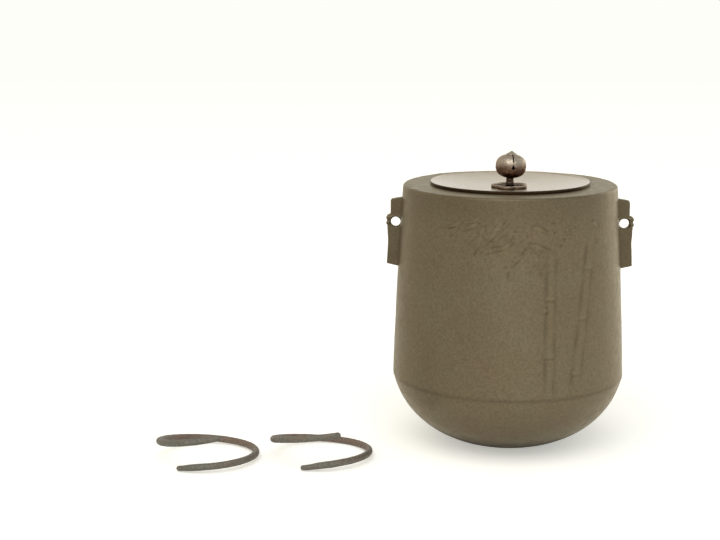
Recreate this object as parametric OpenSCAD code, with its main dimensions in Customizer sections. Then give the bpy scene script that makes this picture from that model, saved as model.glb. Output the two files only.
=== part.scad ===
// Chagama: a cast-iron tea kettle of the tall cylinder shape, with a dished bronze lid
// and a pair of loose lifting rings. Millimetres, +Z up, origin under the middle of the foot.

/* [Kettle body] */
// Largest radius, at the corner where the wall meets the bowl
corner_r = 87.8; // [84:0.5:110]
// Height of that corner above the ground
corner_z = 54; // [40:1:80]
// Radius of the wall at its upper end
shoulder_r = 80.5; // [74:0.2:100]
// Height of the flat shoulder above the ground
shoulder_z = 199.1; // [180:0.5:260]
// Radius that rounds the wall into the shoulder
shoulder_round = 2; // [1:0.2:8]
// How far the wall swells beyond a straight line
wall_bulge = 0.6; // [0:0.1:2]
// Thickness of the side wall
wall_t = 4; // [3:0.1:6]
// Thickness of the shoulder
shoulder_t = 4.2; // [3:0.1:6]
// Thickness of the bottom under the flat inside floor
floor_t = 4.2; // [3:0.1:7]
// Radius of the flat inside floor
floor_r = 22; // [20:0.5:34]
// Radius of the flat foot
foot_r = 15; // [8:0.5:24]
// Sweep of the bowl's curve from the foot to the corner, in degrees
bowl_sweep = 79; // [60:1:88]
// How far the wall's lower edge stands out over the bowl
corner_step = 0.4; // [0.3:0.1:2]
// Height of that lower edge
corner_lip = 1.2; // [0.6:0.1:3]
// Radius of the mouth
mouth_r = 54; // [44:0.5:56]
// Chamfer on the mouth's upper edge
mouth_chamfer = 0.8; // [0.2:0.1:2]

/* [Lugs] */
// Radius of the hole that takes a lifting ring
ring_hole_r = 3.7; // [3:0.1:4.5]
// Depth of the hole's middle below the shoulder
ring_hole_drop = 29.5; // [26:0.5:70]
// Iron between the wall and the hole
lug_web = 0.2; // [0.1:0.05:2]
// Thickness of a lug, front to back
lug_t = 6; // [4:0.5:12]
// Depth of a lug's root in the wall
lug_sink = 1.4; // [0.8:0.1:2]
// Height of a lug above the hole's middle
lug_rise = 18.8; // [12:0.5:20]
// Length of a lug below the hole's middle
lug_drop = 34.1; // [20:0.1:60]
// How far the upper end slopes down on its way out
lug_top_slope = 1.3; // [0:0.1:4]
// How far the lower end slopes up on its way out
lug_bottom_slope = 2; // [0:0.1:5]
// Reach of the upper stalk beyond the hole's middle
stalk_reach = 3.8; // [3:0.1:6]
// Reach of the two joint rings beyond the hole's middle
joint_reach = 7.1; // [6.4:0.1:10]
// Reach of the lower stalk at its waist
waist_reach = 5.7; // [5.2:0.1:8]
// Reach of the lower stalk at its end
lug_end_reach = 6.6; // [5.4:0.1:9]
// Radius of a joint ring's rounded edge
joint_ring_r = 1.5; // [1:0.1:2]
// Spacing of the two joint rings
joint_ring_pitch = 4.2; // [3:0.1:6]
// Depth of the notch between the two joint rings
joint_notch = 0.7; // [0.3:0.1:1.2]
// Height of the joint's middle above the hole's middle
joint_rise = 1.3; // [-1:0.1:3]

/* [Lid] */
// How far the lid reaches over the shoulder beyond the mouth
lid_overlap = 5.8; // [4.5:0.1:10]
// Thickness of the lid at its rim
rim_t = 2.4; // [1.6:0.1:4]
// Width of the level rim around the dish
rim_w = 1.4; // [0.8:0.1:3]
// Depth of the dish at the middle
dish_depth = 5.1; // [2:0.1:8]
// Thickness of the dish
dish_t = 2.2; // [1.4:0.1:3]
// How far the flat in the middle of the dish shows around the seat
dish_flat_margin = 0.6; // [0.2:0.1:4]
// Gap between the lid's skirt and the mouth
skirt_gap = 0.7; // [0.4:0.1:2]
// Thickness of the skirt
skirt_t = 2.4; // [1.6:0.1:4]
// Depth of the skirt below the shoulder
skirt_drop = 5; // [3:0.5:10]

/* [Knob] */
// Radius of the petal-shaped seat
seat_r = 14; // [12.5:0.1:16]
// Thickness of the seat
seat_t = 2.2; // [1:0.1:3]
// Radius of a petal's rounded end
petal_r = 6.9; // [6:0.1:7.5]
// Radius of the hollow in each petal
hollow_r = 3.4; // [2:0.1:3.8]
// Depth of the hollow in each petal
hollow_depth = 0.8; // [0.2:0.1:0.9]
// Radius of the stem
stem_r = 2.8; // [2.3:0.1:3.2]
// Height of the stem from the seat to the ball
stem_h = 5; // [3:0.1:9]
// Radius of the ball
ball_r = 11.4; // [9:0.1:15]
// Height of the ball
ball_h = 17.8; // [13:0.1:24]
// Fullness of the ball: 2 is an ellipse, more is squarer
ball_fullness = 2.4; // [2:0.1:3]
// Radius of the crown on the ball
crown_r = 4; // [3:0.1:5.5]
// Thickness of the crown's rim
crown_t = 0.7; // [0.5:0.1:1.5]
// Height of the pointed tip above the crown
tip_h = 1.9; // [1:0.1:5]
// Radius of the pointed tip where it leaves the crown
tip_r = 2.5; // [1.5:0.1:2.8]
// Lean of the ball away from the stem's line, in degrees
knob_lean = 3; // [0:0.5:6]
// Turn of the groove from the front, in degrees
groove_turn = 9; // [-30:1:30]
// Width of the groove
groove_w = 0.8; // [0.5:0.1:1.5]
// Depth of the groove
groove_depth = 0.8; // [0.4:0.1:1.5]
// Radius of the round end of the teardrop hole
drop_r = 1.1; // [0.7:0.1:1.6]
// Height of the teardrop hole
drop_h = 4; // [3:0.1:6]
// Depth of the teardrop hole
drop_depth = 4; // [2:0.5:6]

/* [Knob fastening] */
// Radius of the shank that goes through the lid
shank_r = 1.8; // [1.4:0.1:2]
// Gap around the shank
shank_gap = 0.15; // [0.1:0.05:0.4]
// Radius of the washer under the lid
washer_r = 7; // [6:0.1:10]
// Thickness of the washer
washer_t = 1.2; // [0.8:0.1:2]
// Radius of the peened head
head_r = 4.2; // [3.2:0.1:5.5]
// Height of the peened head
head_h = 1.8; // [1:0.1:3]

/* [Singing plates] */
// Length of a singing plate
plate_l = 9; // [6:0.5:11]
// Width of a singing plate
plate_w = 5.5; // [4:0.5:7]
// Thickness of a singing plate
plate_t = 1.6; // [1:0.1:3]
// Distance from the floor's edge in to the circle on which the plates lie
plate_inset = 8.5; // [7:0.5:10]
// Thickness of the lacquer bed under a plate
bed_t = 0.5; // [0.3:0.1:1]
// How far a bed shows around its plate
bed_margin = 0.6; // [0.3:0.1:1]

/* [Lifting rings] */
// Radius of a ring along the middle of its bar
ring_r = 35.7; // [30:0.1:42]
// Radius of the bar
bar_r = 2.55; // [2:0.05:3.2]
// Radius of the bar's lower tip
tip_bar_r = 1.9; // [1.2:0.05:2.4]
// Radius of the bar's upper tip
top_bar_r = 2.3; // [1.2:0.05:2.5]
// Angle from the lower tip over which the bar reaches its full radius
tip_taper = 28; // [15:1:120]
// Angle from the upper tip over which the bar reaches its full radius
top_taper = 65; // [15:1:120]
// Angle past the lower tip towards which a ring leans down
lean_at = -151; // [-180:1:180]
// Angle before the upper tip from which the bar bends up
bend_sweep = 90; // [40:5:150]
// Clear width between the kettle's corner and the right ring's nearest point
ring_to_kettle = 12.1; // [4:0.1:60]
// Clear width between the two rings
rings_apart = 7.6; // [2:0.1:40]
// Place of the left ring's middle in front of the kettle's middle
left_ring_forward = 68; // [0:0.5:120]
// Bearing of the left ring's lower tip, in degrees
left_ring_bearing = -119; // [-180:1:180]
// Sweep of the left ring from its lower to its upper tip, in degrees
left_ring_sweep = 413; // [370:1:420]
// How far the left ring's spiral climbs in a full turn
left_ring_pitch = 17.7; // [16:0.1:24]
// How far the left ring leans
left_ring_lean = 4.6; // [3:0.1:7]
// How far the left ring's upper tip is bent up
left_ring_bend = 3.3; // [0:0.1:6]
// Place of the right ring's middle in front of the kettle's middle
right_ring_forward = 58.5; // [0:0.5:120]
// Bearing of the right ring's lower tip, in degrees
right_ring_bearing = -109; // [-180:1:180]
// Sweep of the right ring from its lower to its upper tip, in degrees
right_ring_sweep = 408; // [370:1:420]
// How far the right ring's spiral climbs in a full turn
right_ring_pitch = 21.2; // [16:0.1:24]
// How far the right ring leans
right_ring_lean = 6; // [3:0.1:7]
// How far the right ring's upper tip is bent up
right_ring_bend = 0; // [0:0.1:6]

/* [Hidden] */

$fn = 96;
body_fn = 180;
lid_fn = 144;
small_fn = 48;
petal_count = 5;
petal_bearing = 180;
plate_count = 5;
plate_bearing = 90;
wall_steps = 10;
bowl_steps = 24;
round_steps = 6;
dish_steps = 16;
ball_steps = 24;
bar_sides = 16;
sweep_steps = 76;

// Angles of the stations that round the lower and the upper tip of a ring
tip_round = [75, 50, 25];
end_round = [25, 50, 75];

// Shares of a size that shape a detail
inner_round_share = 0.75;
lip_share = 1 / 3;
waist_share = 0.45;
tip_neck_r_share = 0.35;
tip_neck_h_share = 0.6;
drop_top_share = 0.25;
head_end_share = 0.6;

// Heights and radii that follow from the driving sizes
wall_top_z = shoulder_z - shoulder_round;
inner_top_z = shoulder_z - shoulder_t;
inner_round = inner_round_share * shoulder_round;
ring_hole_z = shoulder_z - ring_hole_drop;
lug_top_z = ring_hole_z + lug_rise;
lug_bottom_z = ring_hole_z - lug_drop;
stalk_corner = lug_t / 6;
rim_top_z = shoulder_z + rim_t;
dish_top_z = rim_top_z - dish_depth;
dish_under_z = dish_top_z - dish_t;
lid_r = mouth_r + lid_overlap;
dish_rim_r = lid_r - rim_w;
rim_edge = rim_t / 4;
rim_relief = rim_t / 6;
dish_flat_r = seat_r + dish_flat_margin;
skirt_r = mouth_r - skirt_gap;
seat_top_z = dish_top_z + seat_t;
ball_z = seat_top_z + stem_h + ball_h / 2;
stem_sink = ball_h / 4;
washer_under_z = dish_under_z - washer_t;
shank_hole_r = shank_r + shank_gap;
bed_top_z = floor_t + bed_t;
plate_ring_r = floor_r - plate_inset;
right_ring_x = corner_r + ring_to_kettle + bar_r + ring_r;
left_ring_x = right_ring_x + 2 * (ring_r + bar_r) + rings_apart;

// Shared formulas
function mix(a, b, t) = a + (b - a) * t;
function smooth(t) = let (u = min(max(t, 0), 1)) u * u * (3 - 2 * u);

// Radius of the wall's outside at a height
function wall_radius(z) =
    let (s = (z - corner_z) / (wall_top_z - corner_z))
    mix(corner_r, shoulder_r, s) + wall_bulge * 4 * s * (1 - s);

ring_hole_at = wall_radius(ring_hole_z) + lug_web + ring_hole_r;

// Part of an ellipse that leaves the level at (from_r, from_z) and ends at (to_r, to_z)
function bowl_curve(from_r, from_z, to_r, to_z) = [
    for (i = [0 : bowl_steps])
        let (a = bowl_sweep * i / bowl_steps)
        [
            mix(from_r, to_r, sin(a) / sin(bowl_sweep)),
            mix(from_z, to_z, (1 - cos(a)) / (1 - cos(bowl_sweep)))
        ]
];

// Quarter round that goes from the wall's side to the level above it
function quarter_round(side_r, top_z, radius) = [
    for (i = [0 : round_steps])
        let (a = 90 * i / round_steps)
        [side_r - radius + radius * cos(a), top_z - radius + radius * sin(a)]
];

// The wall's line between two heights, set in by an inset
function wall_line(from_z, to_z, inset) = [
    for (i = [0 : wall_steps])
        let (z = mix(from_z, to_z, i / wall_steps))
        [wall_radius(z) - inset, z]
];

function reversed(points) = [for (i = [len(points) - 1 : -1 : 0]) points[i]];

module body_outline() {
    outside = concat(
        [[0, 0]],
        bowl_curve(foot_r, 0, corner_r - corner_step, corner_z - corner_lip),
        [[corner_r - lip_share * corner_step, corner_z - corner_lip]],
        wall_line(corner_z, wall_top_z, 0),
        quarter_round(shoulder_r, shoulder_z, shoulder_round),
        [[mouth_r + mouth_chamfer, shoulder_z], [mouth_r, shoulder_z - mouth_chamfer]]
    );
    inside = concat(
        [[0, floor_t]],
        bowl_curve(floor_r, floor_t, corner_r - wall_t, corner_z),
        wall_line(corner_z + corner_lip, inner_top_z - inner_round, wall_t),
        quarter_round(wall_radius(inner_top_z - inner_round) - wall_t, inner_top_z, inner_round),
        [[mouth_r, inner_top_z]]
    );
    polygon(concat(outside, reversed(inside)));
}

// Outline of a lug on a radial plane, with its bamboo joint
module lug_outline() {
    stalk_x = ring_hole_at + stalk_reach;
    joint_z = ring_hole_z + joint_rise;
    joint_x = ring_hole_at + joint_reach;
    bump_x = joint_x - joint_ring_r;
    notch_x = joint_x - joint_notch;
    bump_z = joint_ring_pitch / 2;
    end_x = ring_hole_at + lug_end_reach;
    waist_z = mix(joint_z, lug_bottom_z, waist_share);
    polygon([
        [wall_radius(lug_bottom_z) - lug_sink, lug_bottom_z],
        [wall_radius(lug_bottom_z), lug_bottom_z],
        [end_x, lug_bottom_z + lug_bottom_slope],
        [ring_hole_at + waist_reach, waist_z],
        [bump_x, joint_z - bump_z - joint_ring_r],
        [notch_x, joint_z - bump_z],
        [notch_x, joint_z + bump_z],
        [stalk_x, joint_z + bump_z + joint_ring_r],
        [stalk_x, lug_top_z - lug_top_slope - stalk_corner],
        [stalk_x - stalk_corner, lug_top_z - lug_top_slope],
        [wall_radius(lug_top_z), lug_top_z],
        [wall_radius(lug_top_z) - lug_sink, lug_top_z]
    ]);
    for (side = [-1, 1])
        translate([bump_x, joint_z + side * bump_z])
            circle(r = joint_ring_r, $fn = small_fn);
}

// A lug on the +X side, before its hole is made
module lug_blank() {
    rotate([90, 0, 0])
        translate([0, 0, -lug_t / 2])
            linear_extrude(lug_t)
                lug_outline();
}

module lug() {
    difference() {
        lug_blank();
        translate([ring_hole_at, 0, ring_hole_z])
            rotate([90, 0, 0])
                cylinder(r = ring_hole_r, h = 2 * lug_t, center = true);
    }
}

module kettle_body() {
    color("#71654f")
        difference() {
            rotate_extrude($fn = body_fn)
                body_outline();
            lug_blank();
            mirror([1, 0, 0])
                lug_blank();
        }
}

module left_lug() {
    color("#6a5f48")
        mirror([1, 0, 0])
            lug();
}

module right_lug() {
    color("#6a5f48")
        lug();
}

// The dish's line from the flat to the rim, lowered by a drop
function dish_line(drop, to_r) = [
    for (i = [0 : dish_steps])
        let (r = mix(dish_flat_r, to_r, i / dish_steps))
        let (u = (r - dish_flat_r) / (dish_rim_r - dish_flat_r))
        [r, dish_top_z + dish_depth * u * u - drop]
];

module lid_outline() {
    upper = concat(
        [[shank_hole_r, dish_top_z]],
        dish_line(0, dish_rim_r),
        [
            [lid_r - rim_edge, rim_top_z],
            [lid_r, rim_top_z - rim_edge],
            [lid_r, shoulder_z + rim_relief],
            [lid_r - rim_relief, shoulder_z],
            [skirt_r, shoulder_z],
            [skirt_r, shoulder_z - skirt_drop],
            [skirt_r - skirt_t, shoulder_z - skirt_drop]
        ]
    );
    under = concat([[shank_hole_r, dish_under_z]], dish_line(dish_t, skirt_r - skirt_t));
    polygon(concat(upper, reversed(under)));
}

module lid_plate() {
    color("#8a7a63")
        rotate_extrude($fn = lid_fn)
            lid_outline();
}

// Turns a child to the middle of each petal of the seat
module at_petals() {
    for (i = [0 : petal_count - 1])
        rotate(petal_bearing + 360 * i / petal_count)
            translate([seat_r - petal_r, 0, 0])
                children();
}

module knob_seat() {
    color("#5a4c38")
        translate([0, 0, dish_top_z])
            difference() {
                linear_extrude(seat_t)
                    at_petals()
                        circle(r = petal_r);
                at_petals()
                    translate([0, 0, seat_t - hollow_depth])
                        cylinder(r = hollow_r, h = seat_t, $fn = small_fn);
                translate([0, 0, -seat_t])
                    cylinder(r = shank_hole_r, h = 3 * seat_t, $fn = small_fn);
            }
}

// Half outline of the full, flattened ball, grown or shrunk by an amount
function ball_line(grow) = [
    for (i = [0 : ball_steps])
        let (a = -90 + 180 * i / ball_steps)
        let (power = 2 / ball_fullness)
        [
            (ball_r + grow) * pow(max(cos(a), 0), power),
            (ball_h / 2 + grow) * sign(a) * pow(abs(sin(a)), power)
        ]
];

// The ball with its crown and tip, its middle at the origin
module ball_and_crown() {
    crown_z = ball_h / 2 * pow(1 - pow(crown_r / ball_r, ball_fullness), 1 / ball_fullness);
    rotate_extrude() {
        polygon(ball_line(0));
        polygon([
            [0, 0],
            [crown_r - crown_t / 2, crown_z - crown_t],
            [crown_r, crown_z + crown_t / 2],
            [tip_r, ball_h / 2 + crown_t],
            [tip_neck_r_share * tip_r, ball_h / 2 + crown_t + tip_neck_h_share * tip_h],
            [0, ball_h / 2 + crown_t + tip_h]
        ]);
    }
}

// The groove down the front of the ball and the teardrop hole at its foot
module groove_and_drop() {
    rotate([0, 0, groove_turn]) {
        rotate([90, 0, -90])
            translate([0, 0, -groove_w / 2])
                linear_extrude(groove_w)
                    difference() {
                        translate([0, drop_h / 2])
                            square([ball_r, ball_h]);
                        polygon(concat([[0, 0]], ball_line(-groove_depth)));
                        translate([0, ball_h / 2 - groove_depth])
                            square([crown_r, ball_h]);
                    }
        translate([0, -ball_r, 0])
            rotate([90, 0, 0])
                translate([0, 0, -drop_depth])
                    linear_extrude(drop_depth + ball_r)
                        union() {
                            translate([0, drop_r - drop_h / 2])
                                circle(r = drop_r, $fn = small_fn);
                            polygon([
                                [-drop_r, drop_r - drop_h / 2],
                                [drop_r, drop_r - drop_h / 2],
                                [drop_top_share * drop_r, drop_h / 2],
                                [-drop_top_share * drop_r, drop_h / 2]
                            ]);
                        }
    }
}

module knob() {
    lean_z = seat_top_z + stem_h / 2;
    color("#5c443a") {
        translate([0, 0, lean_z])
            rotate([0, knob_lean, 0])
                translate([0, 0, ball_z - lean_z])
                    difference() {
                        ball_and_crown();
                        groove_and_drop();
                    }
        translate([0, 0, seat_top_z])
            cylinder(r = stem_r, h = stem_h + stem_sink);
        translate([0, 0, washer_under_z])
            cylinder(r = shank_r, h = seat_top_z - washer_under_z + stem_h / 2);
        translate([0, 0, washer_under_z - head_h])
            cylinder(r1 = head_end_share * head_r, r2 = head_r, h = head_h);
    }
}

module knob_washer() {
    color("#6b5c46")
        translate([0, 0, washer_under_z])
            difference() {
                cylinder(r = washer_r, h = washer_t);
                translate([0, 0, -washer_t])
                    cylinder(r = shank_hole_r, h = 3 * washer_t);
            }
}

// Turns a child to the place of one singing plate on the inside floor
module at_plate(index) {
    rotate(plate_bearing + 360 * index / plate_count)
        translate([plate_ring_r, 0, 0])
            children();
}

module lacquer_beds() {
    color("#2b2420")
        for (index = [0 : plate_count - 1])
            at_plate(index)
                translate([0, 0, floor_t + bed_t / 2])
                    cube([plate_w + 2 * bed_margin, plate_l + 2 * bed_margin, bed_t], center = true);
}

module singing_plate(index) {
    color("#4d4844")
        at_plate(index)
            translate([0, 0, bed_top_z + plate_t / 2])
                cube([plate_w, plate_l, plate_t], center = true);
}

// Radius of a ring's bar at an angle past its lower tip
function bar_radius(a, sweep) =
    a < sweep / 2
        ? mix(tip_bar_r, bar_r, smooth(a / tip_taper))
        : mix(top_bar_r, bar_r, smooth((sweep - a) / top_taper));

// Height of a ring's bar at an angle past its lower tip, before the ring is set down
function bar_lift(a, sweep, pitch, lean, bend) =
    pitch * a / 360 - lean * cos(a - lean_at) + bend * pow(max(0, 1 - (sweep - a) / bend_sweep), 2);

// The angle that an arc of a given length takes up on a ring
function ring_angle(arc) = arc / ring_r * 180 / PI;

// Stations along a ring, each an angle past the lower tip with the bar's radius there
function ring_stations(sweep) = concat(
    [for (a = tip_round) [-ring_angle(tip_bar_r * sin(a)), tip_bar_r * cos(a)]],
    [for (i = [0 : sweep_steps]) let (a = sweep * i / sweep_steps) [a, bar_radius(a, sweep)]],
    [for (a = end_round) [sweep + ring_angle(top_bar_r * sin(a)), top_bar_r * cos(a)]]
);

// A lifting ring that leans on the ground, its lower tip at angle 0 and its upper tip over it
module spiral_ring(sweep, pitch, lean, bend) {
    stations = ring_stations(sweep);
    last = len(stations) - 1;
    lowest = min([for (s = stations) bar_lift(s[0], sweep, pitch, lean, bend)]);
    points = [
        for (s = stations)
            let (lift = bar_lift(s[0], sweep, pitch, lean, bend) - lowest)
            let (rise = bar_radius(s[0], sweep) + lift)
            for (i = [0 : bar_sides - 1])
                let (a = 360 * i / bar_sides - 90)
                let (r = ring_r + s[1] * cos(a))
                [r * cos(s[0]), r * sin(s[0]), rise + s[1] * sin(a)]
    ];
    skin = [
        for (k = [0 : last - 1])
            for (i = [0 : bar_sides - 1])
                let (j = (i + 1) % bar_sides)
                let (a = k * bar_sides)
                let (b = a + bar_sides)
                each [[a + i, b + i, a + j], [a + j, b + i, b + j]]
    ];
    tip_face = [for (i = [1 : bar_sides - 2]) [0, i, i + 1]];
    end_face = [for (i = [1 : bar_sides - 2]) [last, last, last] * bar_sides + [0, i + 1, i]];
    polyhedron(points, concat(skin, tip_face, end_face), convexity = 6);
}

module left_ring() {
    color("#5b5349")
        translate([-left_ring_x, -left_ring_forward, 0])
            rotate(left_ring_bearing)
                spiral_ring(left_ring_sweep, left_ring_pitch, left_ring_lean, left_ring_bend);
}

module right_ring() {
    color("#5b5349")
        translate([-right_ring_x, -right_ring_forward, 0])
            rotate(right_ring_bearing)
                spiral_ring(right_ring_sweep, right_ring_pitch, right_ring_lean, right_ring_bend);
}

kettle_body();
left_lug();
right_lug();
lid_plate();
knob_seat();
knob();
knob_washer();
lacquer_beds();
singing_plate(0);  // singing_plate_1
singing_plate(1);  // singing_plate_2
singing_plate(2);  // singing_plate_3
singing_plate(3);  // singing_plate_4
singing_plate(4);  // singing_plate_5
left_ring();
right_ring();
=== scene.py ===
"""Looks of a cast-iron tea kettle with a dished bronze lid and a pair of loose lifting rings."""

import logging
import math
from dataclasses import dataclass, field
from enum import Enum

import bpy
import numpy as np
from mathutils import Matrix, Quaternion, Vector


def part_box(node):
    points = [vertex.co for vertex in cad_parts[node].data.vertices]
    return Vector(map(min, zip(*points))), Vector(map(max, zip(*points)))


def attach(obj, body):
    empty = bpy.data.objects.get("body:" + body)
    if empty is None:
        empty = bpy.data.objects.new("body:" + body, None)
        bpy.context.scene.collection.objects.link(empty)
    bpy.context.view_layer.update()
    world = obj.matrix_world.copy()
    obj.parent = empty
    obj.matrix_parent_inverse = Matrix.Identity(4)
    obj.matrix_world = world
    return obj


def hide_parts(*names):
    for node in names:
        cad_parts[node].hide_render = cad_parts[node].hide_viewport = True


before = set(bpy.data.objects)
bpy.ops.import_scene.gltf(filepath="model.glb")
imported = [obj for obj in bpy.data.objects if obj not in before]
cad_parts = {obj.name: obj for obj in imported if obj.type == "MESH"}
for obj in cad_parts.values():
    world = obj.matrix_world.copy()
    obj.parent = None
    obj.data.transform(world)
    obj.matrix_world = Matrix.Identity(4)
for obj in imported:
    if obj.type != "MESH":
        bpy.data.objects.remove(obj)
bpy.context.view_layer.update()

log = logging.getLogger("kettle")

MM = 0.001
WELD = 0.002 * MM
LEAST_WEIGHT = 0.001
TINY = 1e-6
SHADING_ANGLE = math.radians(40)
# Share of a rounded corner's size by which its middle stands in from the sharp one.
ROUND_MIDDLE = 0.3
# Most of a noise pattern lies in this span around one half.
PATTERN_SPAN = (0.3, 0.7)

Colour = tuple[float, float, float, float]
# Where something starts and where it ends.
Span = tuple[float, float]
# Grain and depth of a rough surface.
Rough = tuple[float, float]
# Radius and height of each point of a half outline.
Line = list[tuple[float, float]]
Piece = bpy.types.Object
Skin = bpy.types.Material
Socket = bpy.types.NodeSocket


class Body(Enum):
    """The bodies that move on their own."""

    KETTLE = "kettle"
    LID = "lid"
    LEFT_RING = "loose_left_ring"
    RIGHT_RING = "loose_right_ring"


class Slot(Enum):
    """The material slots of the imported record."""

    KETTLE_IRON = "kettle_iron"
    LID_BRONZE = "lid_bronze"
    KNOB_BRONZE = "knob_bronze"
    RING_IRON = "ring_iron"
    PLATE_IRON = "plate_iron"
    LACQUER = "lacquer"


class Side(Enum):
    """The two sides of the kettle, along its lugs."""

    LEFT = -1
    RIGHT = 1


def tone(red: int, green: int, blue: int) -> Colour:
    """Turns a display colour into the linear one that a shader takes.

    Args:
        red: Red from 0 to 255.
        green: Green from 0 to 255.
        blue: Blue from 0 to 255.

    Returns:
        The linear colour, with full alpha.
    """
    shares = [c / 255 for c in (red, green, blue)]
    linear = [c / 12.92 if c <= 0.04045 else ((c + 0.055) / 1.055) ** 2.4 for c in shares]
    return (linear[0], linear[1], linear[2], 1.0)


def smooth(low: float, high: float, value: np.ndarray) -> np.ndarray:
    """Eases from 0 to 1 as a value goes from low to high.

    Args:
        low: Value at which the result is 0.
        high: Value at which the result is 1.
        value: The values to ease.

    Returns:
        The eased values.
    """
    t = np.clip((value - low) / (high - low), 0.0, 1.0)
    return t * t * (3 - 2 * t)


def mix(start: float, end: float, share: float) -> float:
    """Gives the value at a share of the way from start to end."""
    return start + (end - start) * share


def bell(value: np.ndarray, width: float) -> np.ndarray:
    """Gives 1 where a value is 0 and falls off to both sides of it over a width."""
    return np.exp(-((value / width) ** 2))


class Bench:
    """The hand tools: operators that draw, spin, cut and finish a mesh."""

    @staticmethod
    def clear() -> None:
        """Goes to object mode with nothing selected."""
        if bpy.context.mode != "OBJECT":
            bpy.ops.object.mode_set(mode="OBJECT")
        bpy.ops.object.select_all(action="DESELECT")

    @staticmethod
    def pick(piece: Piece) -> None:
        """Selects one piece alone and makes it the active one.

        Args:
            piece: The piece to select.
        """
        Bench.clear()
        piece.select_set(True)
        bpy.context.view_layer.objects.active = piece

    @staticmethod
    def draw(name: str, points: list[Vector]) -> Piece:
        """Draws a line by extruding one vertex from point to point, and stays in edit mode.

        Args:
            name: Name of the new piece.
            points: The points that the line visits.

        Returns:
            The new piece, with its last vertex selected.
        """
        Bench.clear()
        bpy.ops.mesh.primitive_plane_add(size=MM, location=(0, 0, 0))
        piece = bpy.context.object
        piece.name = name
        piece.data.name = name
        bpy.ops.object.mode_set(mode="EDIT")
        bpy.ops.mesh.select_all(action="SELECT")
        bpy.ops.mesh.merge(type="CENTER")
        bpy.ops.transform.translate(value=points[0])
        for start, end in zip(points, points[1:]):
            bpy.ops.mesh.extrude_region_move(TRANSFORM_OT_translate={"value": end - start})
        return piece

    @staticmethod
    def spin(name: str, line: Line, turns: list[tuple[float, int]]) -> Piece:
        """Spins a half outline round the upright axis, into a closed shape.

        Args:
            name: Name of the new piece.
            line: Radius and height of each point of the half outline.
            turns: Angle and number of steps of each stretch of the spin, in order.

        Returns:
            The spun piece, in object mode.
        """
        piece = Bench.draw(name, [Vector((r, 0, z)) for r, z in line])
        bpy.ops.mesh.select_all(action="SELECT")
        for angle, steps in turns:
            bpy.ops.mesh.spin(steps=steps, angle=angle, center=(0, 0, 0), axis=(0, 0, -1))
        Bench.close()
        return piece

    @staticmethod
    def close() -> None:
        """Merges doubles, turns all faces outward and leaves edit mode."""
        bpy.ops.mesh.select_all(action="SELECT")
        bpy.ops.mesh.remove_doubles(threshold=WELD)
        bpy.ops.mesh.normals_make_consistent(inside=False)
        bpy.ops.object.mode_set(mode="OBJECT")

    @staticmethod
    def slab(name: str, outline: list[Vector], depth: Vector) -> Piece:
        """Fills a closed outline and extrudes it into a slab.

        Args:
            name: Name of the new piece.
            outline: Corners of the outline, in order.
            depth: Way and length of the extrusion.

        Returns:
            The slab, in object mode.
        """
        piece = Bench.draw(name, outline)
        bpy.ops.mesh.select_all(action="SELECT")
        bpy.ops.mesh.edge_face_add()
        bpy.ops.mesh.extrude_region_move(TRANSFORM_OT_translate={"value": depth})
        Bench.close()
        return piece

    @staticmethod
    def apply(piece: Piece, kind: str, **settings: object) -> None:
        """Adds a modifier to a piece and applies it.

        Args:
            piece: The piece to change.
            kind: The modifier's type.
            settings: Values of the modifier's own settings.
        """
        Bench.pick(piece)
        modifier = piece.modifiers.new(kind.lower(), kind)
        for key, value in settings.items():
            setattr(modifier, key, value)
        bpy.ops.object.modifier_apply(modifier=modifier.name)

    @staticmethod
    def cut(piece: Piece, tool: Piece) -> None:
        """Cuts a tool's shape out of a piece and removes the tool."""
        Bench.apply(piece, "BOOLEAN", operation="DIFFERENCE", object=tool, solver="EXACT")
        bpy.data.objects.remove(tool)

    @staticmethod
    def join(name: str, pieces: list[Piece]) -> Piece:
        """Joins pieces into the first one.

        Args:
            name: Name of the joined piece.
            pieces: The pieces to join.

        Returns:
            The joined piece.
        """
        Bench.clear()
        for piece in pieces:
            piece.select_set(True)
        bpy.context.view_layer.objects.active = pieces[0]
        bpy.ops.object.join()
        pieces[0].name = name
        pieces[0].data.name = name
        return pieces[0]

    @staticmethod
    def settle(piece: Piece) -> None:
        """Applies a piece's place and turn to its mesh, so that its object sits at the origin."""
        Bench.pick(piece)
        bpy.ops.object.transform_apply(location=True, rotation=True, scale=True)

    @staticmethod
    def fuse(piece: Piece, voxel: float, rounds: int) -> None:
        """Makes overlapping shapes one even skin and softens its edges.

        Args:
            piece: The piece to change.
            voxel: Size of the skin's faces.
            rounds: Number of smoothing rounds.
        """
        Bench.apply(piece, "REMESH", mode="VOXEL", voxel_size=voxel)
        Bench.apply(piece, "SMOOTH", factor=0.5, iterations=rounds)

    @staticmethod
    def refine(piece: Piece, chosen: np.ndarray) -> None:
        """Halves the faces that are chosen.

        Args:
            piece: The piece to change.
            chosen: True for each face to halve both ways.
        """
        Bench.pick(piece)
        bpy.ops.object.mode_set(mode="EDIT")
        bpy.ops.mesh.select_mode(type="FACE")
        bpy.ops.mesh.select_all(action="DESELECT")
        bpy.ops.object.mode_set(mode="OBJECT")
        piece.data.polygons.foreach_set("select", chosen)
        bpy.ops.object.mode_set(mode="EDIT")
        bpy.ops.mesh.subdivide(number_cuts=1)
        bpy.ops.mesh.select_mode(type="VERT")
        bpy.ops.object.mode_set(mode="OBJECT")

    @staticmethod
    def weigh(piece: Piece, weights: np.ndarray) -> str:
        """Stores a weight for each vertex as a vertex group.

        Args:
            piece: The piece whose vertices are weighed.
            weights: One weight from 0 to 1 for each vertex.

        Returns:
            Name of the group.
        """
        group = piece.vertex_groups.new(name="weighed")
        for index in np.flatnonzero(weights > LEAST_WEIGHT):
            group.add([int(index)], float(weights[index]), "REPLACE")
        return group.name

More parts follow.
